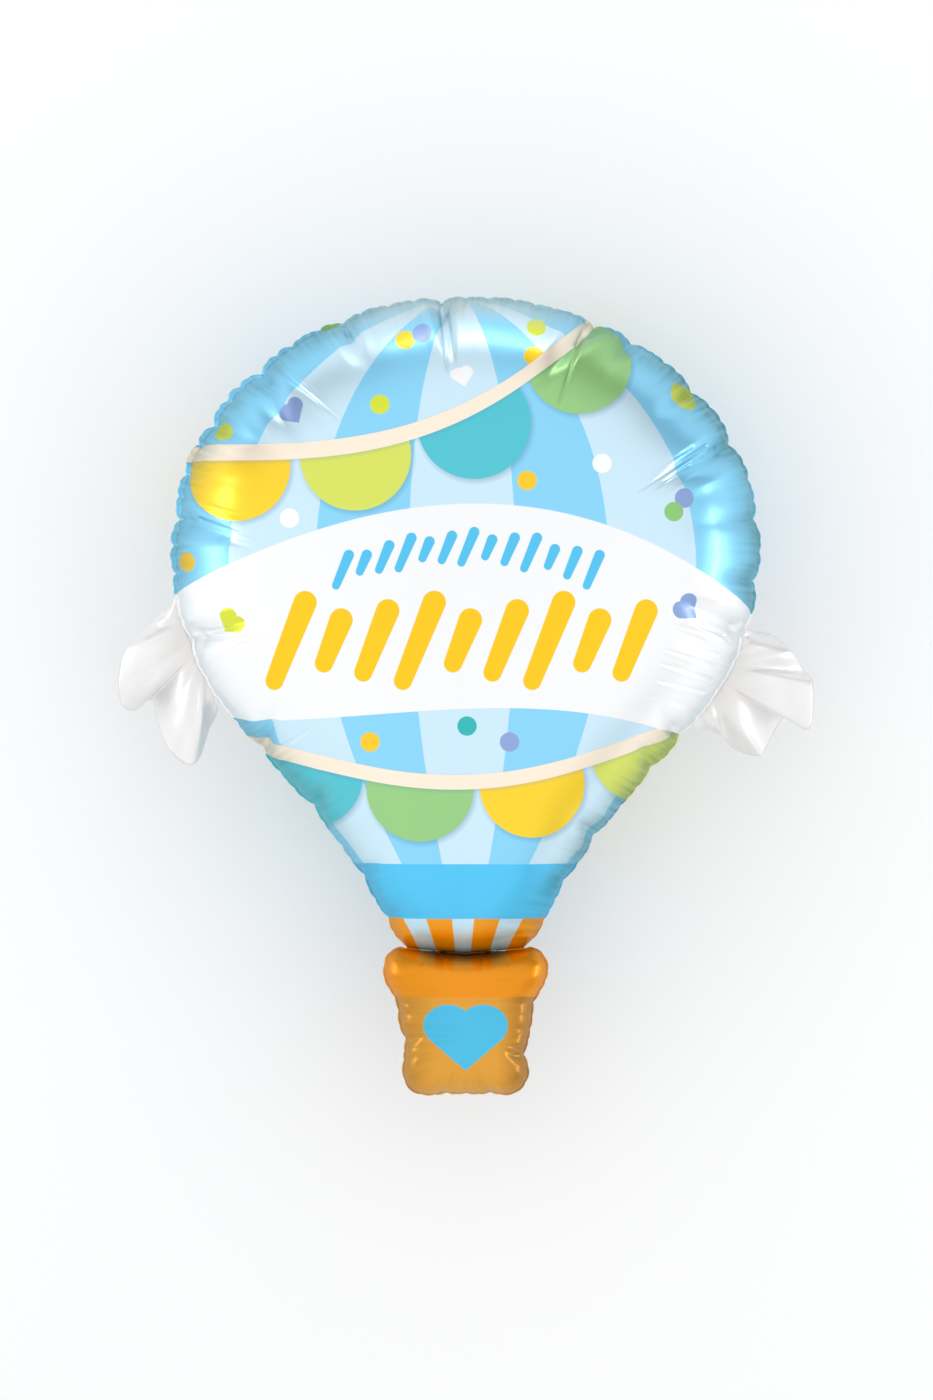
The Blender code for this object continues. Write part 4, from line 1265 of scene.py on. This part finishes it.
def printed_film(finish, x, y, strokes):
    """The whole print as one colour, worked out at each point's place on the flat film."""
    on_film = FilmPlaces()

    def line(places, degree):
        return finish.curve([on_film(*place) for place in places], x, degree)

    dot_radius = bpy.context.scene.balloon_print.dot_diameter / 2
    colour = print_ground(finish, x, y)
    for middle_x, middle_y, name in DOTS:
        distance = finish.far(x, y, on_film(middle_x, middle_y)) - dot_radius
        colour = finish.mix(finish.within(distance), colour, ink(name))
    colour = paint_hearts(finish, colour, x, y, RIBBON_HEARTS, on_film)
    for flags, places, half_width, degree in (
        (UPPER_FLAGS, UPPER_RIBBON, UPPER_RIBBON_HALF_WIDTH, 3),
        (LOWER_FLAGS, LOWER_RIBBON, LOWER_RIBBON_HALF_WIDTH, 4),
    ):
        ribbon = line(places, degree)
        colour = hang_flags(finish, colour, x, y, flags, ribbon, on_film)
        under = abs(y - ribbon + RIBBON_SHADOW_DROP) - half_width * RIBBON_SHADOW_SPREAD
        shade = finish.within(under, RIBBON_SHADOW_SOFTNESS, RIBBON_SHADOW_MOST)
        colour = finish.mix(shade, colour, ink("shadow"))
        colour = finish.mix(finish.within(abs(y - ribbon) - half_width), colour, ink("cream"))
    banner = finish.within((y - line(BANNER_TOP, 3)).most(line(BANNER_BOTTOM, 3) - y))
    colour = finish.mix(banner, colour, ink("banner"))
    colour = paint_hearts(finish, colour, x, y, BANNER_HEARTS, on_film)
    if strokes:
        colour = stroke_row(finish, colour, ink("stroke_blue"), x, y, BLUE_STROKES)
        colour = stroke_row(finish, colour, ink("stroke_yellow"), x, y, YELLOW_STROKES)
    return colour, banner


def make_foil_finish(name, strokes):
    """Metallised film with its print, a painted reflection at the crown, and fine crimps and painted
    shade by the seam.
    """
    skin = bpy.context.scene.balloon_skin
    finish = Finish(name)
    film, x, y = finish.attribute("film_place")
    place, _, inward = finish.attribute("seam_place")
    colour, banner = printed_film(finish, x, y, strokes)
    # Painted reflection: a pale band along the crown's edge.
    gleaming = finish.within(abs(x - CROWN_REFLECTION_MIDDLE) - CROWN_REFLECTION_HALF_WIDTH, CROWN_REFLECTION_SIDE_SOFTNESS)
    gleaming = gleaming * finish.within(CROWN_REFLECTION_LOWEST - y)
    gleaming = gleaming * finish.within(inward - CROWN_REFLECTION_REACH, CROWN_REFLECTION_REACH_SOFTNESS)
    colour = finish.mix(gleaming * skin.crown_reflection_share, colour, ink("silver"))
    streaks = finish.noise(place, STREAK_STRETCH, STREAK_DETAIL)
    patches = finish.noise(place, PATCH_SCALE, PATCH_DETAIL)
    beside = finish.ranged(inward, SEAM_RANGE, smooth=True)
    envelope = finish.within(NECK_LINE - y)
    beside = beside * (BASKET_SEAM_SHARE + envelope * (1.0 - BASKET_SEAM_SHARE))
    # Painted shade beside the seam, in streaks and patches and deeper on the right, for the darker
    # reflections of the steep edges.
    shade = finish.ranged(streaks, STREAK_RANGE) * finish.ranged(patches, PATCH_RANGE) * beside
    shade = shade * (skin.seam_painted_shade + x * SEAM_SHADE_TILT) * (1 - banner * BANNER_SHADE_LOSS)
    colour = finish.mix(shade, colour, finish.mix(1.0, colour, SEAM_SHADE_TINT, "MULTIPLY"))
    near_seam = (inward * SEAM_CRIMP_FADE).math("EXPONENT")
    bump = finish.bump(streaks * near_seam * near_seam * skin.crimp_height)
    smudge = finish.noise(film, SMUDGE_SCALE, SMUDGE_DETAIL)
    roughness = smudge * SMUDGE_ROUGHNESS + (skin.roughness - SMUDGE_OFFSET)
    metallic = skin.metallic - banner * (skin.metallic * BANNER_METALLIC_LOSS)
    finish.set(Base_Color=colour, Roughness=roughness, Metallic=metallic, Normal=bump)
    coat = COAT_WEIGHT - COAT_SEAM_LOSS * beside
    finish.set(Coat_Weight=coat, Coat_Roughness=COAT_ROUGHNESS, Coat_IOR=COAT_IOR)
    finish.set(Specular_IOR_Level=SPECULAR_LEVEL, Specular_Tint=EDGE_TINT)
    return finish.material


def make_tail_finish():
    """Thin pearly white film with fine gathers, and painted shade in their hollows and at the roots."""
    finish = Finish("pearly_white_film")
    place, _, out = finish.attribute("pleat_place")
    gathers = finish.noise(place, GATHER_STRETCH, GATHER_DETAIL)
    # Painted shade: darker where the gathers dip, and at the roots by the seam.
    tone = finish.mix(gathers, *TAIL_TONES)
    tone = finish.mix(finish.within(out, TAIL_ROOT_SHADE_REACH, TAIL_ROOT_SHADE_MOST), tone, TAIL_ROOT_SHADE_TONE)
    roughness = gathers * TAIL_ROUGHNESS_SPREAD + TAIL_ROUGHNESS
    finish.set(Base_Color=tone, Roughness=roughness, Normal=finish.bump(gathers * GATHER_HEIGHT))
    finish.set(Metallic=TAIL_METALLIC, Coat_Weight=TAIL_COAT)
    return finish.material


def tail_points(seam, side):
    """Rows of points of a tail, from the seam out to the hem, and their places on it."""
    low, high = (share * seam.length for share in TAIL_SEAMS[side])
    hem = TAIL_HEMS[side]
    free = curve_through([np.array(corner[:3]) for corner in hem], TAIL_COLUMNS_PER_CORNER)
    steps = np.linspace(0.0, len(hem) - 1.0, len(free))
    joins = np.interp(steps, np.arange(len(hem)), [corner[3] for corner in hem])
    along = low + (high - low) * joins
    point, outward = seam.at(along)
    places = [place * seam.length for s, place, *_ in CREASES if s == side]
    grow = lobe_bulge(along, seam, places) + SEAM_MARGIN + TAIL_GAP
    notch = crease_depth(along, seam, side, np.zeros_like(along), np.ones_like(along))
    grow -= CREASE_NOTCH * notch
    inner = np.zeros((len(along), 3))
    inner[:, :2] = point + outward * grow[:, None]
    middle, _ = seam.at(np.array((low + high) / 2))
    outer = free + np.array((middle[0], middle[1], 0.0))
    out = np.linspace(0.0, 1.0, TAIL_ROWS + 1)[None, :, None]
    points = inner[:, None] * (1 - out) + outer[:, None] * out
    lift = (outer[:, None, 2] - inner[:, None, 2]) * (out[..., 0] ** 1.5 - out[..., 0])
    points[..., 2] += lift - TAIL_DROOP * out[..., 0] ** 2
    chance = np.random.default_rng(RANDOM_SEED + 3 + side)
    share, reach = joins[:, None], out[..., 0]
    for waves, deep in TAIL_GATHERS:
        phase = chance.uniform(0, 2 * math.pi)
        swell = np.sin(math.pi * np.clip(reach * 1.1 + 0.05, 0, 1))
        points[..., 2] += deep * swell * np.sin(2 * math.pi * waves * share + phase + 2 * reach)
    points = points * np.array((side, 1.0, 1.0)) + SHIFT
    place = np.stack(np.broadcast_arrays(share, reach, np.zeros_like(reach)), axis=-1)
    return points, place


def make_tail(side, material):
    """One pleated white tail."""
    points, place = tail_points(Seam(), side)
    bm = bmesh.new()
    layer = bm.verts.layers.float_vector.new("pleat_place")
    rows, columns = points.shape[:2]
    grid = bmesh.ops.create_grid(bm, x_segments=columns - 1, y_segments=rows - 1, size=1.0)
    for vertex in grid["verts"]:
        column = round((vertex.co.x + 1.0) / 2.0 * (columns - 1))
        row = round((vertex.co.y + 1.0) / 2.0 * (rows - 1))
        vertex.co = points[row, column]
        vertex[layer] = place[row, column]
    if side > 0:
        bmesh.ops.reverse_faces(bm, faces=bm.faces)
    made = object_from(bm, f"{TAIL_NAMES[side]}_film", material)
    wall = made.modifiers.new("film", "SOLIDIFY")
    wall.thickness, wall.offset = TAIL_WALL, 0.0
    return made


def number_setting(name, description, default, **limits):
    """A number in the sidebar."""
    return bpy.props.FloatProperty(name=name, description=description, default=default, **limits)


def length_setting(name, description, default):
    """A length in the sidebar."""
    return number_setting(name, description, default, unit="LENGTH")


def share_setting(name, description, default):
    """A share from 0 to 1 in the sidebar."""
    return number_setting(name, description, default, min=0, max=1)


def ink_setting(name, default):
    """A colour of the print in the sidebar."""
    settings = {"subtype": "COLOR", "min": 0, "max": 1}
    return bpy.props.FloatVectorProperty(
        name=name, description=f"{name} of the print", default=default, **settings
    )


class BalloonPrint(bpy.types.PropertyGroup):
    """Inks and sizes of the print."""

    __annotations__ = {name: ink_setting(*about) for name, about in INKS.items()} | {
        "dot_diameter": length_setting("Dots", "Diameter of the dots", 0.0256),
        "heart_height": length_setting("Basket heart", "Height of the heart on the basket", 0.088),
    }


class BalloonSkin(bpy.types.PropertyGroup):
    """Finish of the foil skin."""

    metallic: share_setting("Metallic", "How metallic the film is", 0.55)
    roughness: share_setting("Roughness", "Roughness of the film", 0.30)
    crimp_height: length_setting("Crimp height", "Height of the fine crimps beside the seam", 0.0010)
    # The seam shade is painted shade for the darker reflections of the steep edges.
    seam_painted_shade: share_setting("Seam shade", "How dark the crimped film beside the seam is", 0.78)
    # The crown's pale band is a painted reflection.
    crown_reflection_share: share_setting("Crown pallor", "How much the bare film shows at the crown", 0.55)


class BalloonStudio(bpy.types.PropertyGroup):
    """Camera and lights."""

    camera_height: length_setting("Camera height", "Above the floor", 12.0)
    view_height: length_setting(
        "View height", "How much of the balloon's length and its surroundings the view takes in", 1.874
    )
    zenith: number_setting("Zenith", "Strength of the light from above", 1.07)
    belt: number_setting("Low belt", "Strength of the light from low all round", 0.50)
    belt_right: number_setting("Low belt, right", "How much stronger it is on the right", -0.25)
    belt_crown: number_setting("Low belt, crown", "How much stronger it is past the crown", -0.50)
    softboxes: number_setting("Softboxes", "Strength of all the softboxes", 1.0)


def add_chambers(face, material, envelope_grid, basket_grid, folds):
    """Makes the skins of both chambers on one face."""
    where = "front" if face > 0 else "back"
    for chamber, grid in (("envelope", envelope_grid), ("basket", basket_grid)):
        skin = make_chamber_skin(f"{where}_{chamber}_skin", face, chamber, grid, folds, material)
        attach(skin, "root")
        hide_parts("foil_balloon")


class BALLOON_OT_front_panel(bpy.types.Operator):
    """Make the printed front panel with its welded margin"""

    bl_idname = "balloon.front_panel"
    bl_label = "Front panel"

    def execute(self, context):
        material = make_foil_finish("printed_foil_front", True)
        add_chambers(1, material, ENVELOPE_GRID, BASKET_GRID, FRONT_FOLDS)
        return {"FINISHED"}


class BALLOON_OT_back_panel(bpy.types.Operator):
    """Make the back panel, which has the same print without the brush strokes"""

    bl_idname = "balloon.back_panel"
    bl_label = "Back panel"

    def execute(self, context):
        material = make_foil_finish("printed_foil_back", False)
        add_chambers(-1, material, BACK_ENVELOPE_GRID, BACK_BASKET_GRID, BACK_FOLDS)
        return {"FINISHED"}


class BALLOON_OT_tails(bpy.types.Operator):
    """Make the pleated white tail on each side"""

    bl_idname = "balloon.tails"
    bl_label = "White tails"

    def execute(self, context):
        material = make_tail_finish()
        for side, name in TAIL_NAMES.items():
            tail = make_tail(side, material)
            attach(tail, "root")
            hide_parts(name)
        return {"FINISHED"}


class BALLOON_OT_studio(bpy.types.Operator):
    """Make the floor, the lights and the camera above the balloon"""

    bl_idname = "balloon.studio"
    bl_label = "Studio"

    def execute(self, context):
        studio = context.scene.balloon_studio
        context.scene.view_settings.view_transform = "Standard"
        self.make_floor()
        self.make_sky(context, studio)
        for name, place, aim, size, power in SOFTBOXES:
            self.make_light(context, name, place, aim, size, power * studio.softboxes)
        self.make_camera(context, studio)
        return {"FINISHED"}

    def make_floor(self):
        bm = bmesh.new()
        bmesh.ops.create_grid(bm, x_segments=1, y_segments=1, size=FLOOR_HALF_SIZE)
        finish = Finish("pale_floor")
        finish.set(Base_Color=FLOOR_TONE, Roughness=FLOOR_ROUGHNESS)
        object_from(bm, "floor", finish.material)

    def make_sky(self, context, studio):
        """Bright from above, and in a low belt that is darker past the crown and on the right."""
        sky = Sky("studio_sky")
        context.scene.world = sky.world
        place = sky.node("ShaderNodeTexCoord")
        x, y, z = (sky.node("ShaderNodeSeparateXYZ", None, {0: place}, i) for i in range(3))
        belt = (x * studio.belt_right + y * studio.belt_crown + studio.belt).most(BELT_LEAST)
        light = sky.ranged(z, SKY_RANGE, smooth=True) * (studio.zenith - belt) + belt
        sky.set(Color=SKY_TINT, Strength=light)

    def make_light(self, context, name, place, aim, size, power):
        data = bpy.data.lights.new(name, "AREA")
        data.shape, data.energy = "RECTANGLE", power
        data.size, data.size_y = size
        light = bpy.data.objects.new(name, data)
        context.scene.collection.objects.link(light)
        light.location = place
        light.rotation_mode = "QUATERNION"
        light.rotation_quaternion = (Vector(aim) - Vector(place)).to_track_quat("-Z", "Y")

    def make_camera(self, context, studio):
        data = bpy.data.cameras.new("camera_above")
        data.sensor_width = SENSOR_WIDTH
        data.lens = SENSOR_WIDTH * (studio.camera_height - REST_HEIGHT) / studio.view_height
        camera = bpy.data.objects.new("camera_above", data)
        context.scene.collection.objects.link(camera)
        camera.location = (CAMERA_X, CAMERA_Y, studio.camera_height)
        data.clip_end = CLIP_END
        context.scene.camera = camera


class BALLOON_PT_panel(bpy.types.Panel):
    """Lists the balloon's pieces and settings"""

    bl_label = "Foil Balloon"
    bl_space_type = "VIEW_3D"
    bl_region_type = "UI"
    bl_category = "Balloon"

    def draw(self, context):
        for operator in OPERATORS:
            self.layout.operator(operator.bl_idname)
        for owner in GROUPS:
            group = getattr(context.scene, owner)
            for name in group.bl_rna.properties.keys():
                if name not in ("rna_type", "name"):
                    self.layout.prop(group, name)


GROUPS = {
    "balloon_print": BalloonPrint,
    "balloon_skin": BalloonSkin,
    "balloon_studio": BalloonStudio,
}
OPERATORS = (
    BALLOON_OT_front_panel,
    BALLOON_OT_back_panel,
    BALLOON_OT_tails,
    BALLOON_OT_studio,
)


def register():
    for made in (*GROUPS.values(), *OPERATORS, BALLOON_PT_panel):
        bpy.utils.register_class(made)
    for name, group in GROUPS.items():
        setattr(bpy.types.Scene, name, bpy.props.PointerProperty(type=group))


def unregister():
    for name in GROUPS:
        delattr(bpy.types.Scene, name)
    for made in reversed((*GROUPS.values(), *OPERATORS, BALLOON_PT_panel)):
        bpy.utils.unregister_class(made)


def main():
    register()
    bpy.ops.balloon.front_panel()
    bpy.ops.balloon.back_panel()
    bpy.ops.balloon.tails()
    bpy.ops.balloon.studio()


if __name__ == "__main__":
    main()
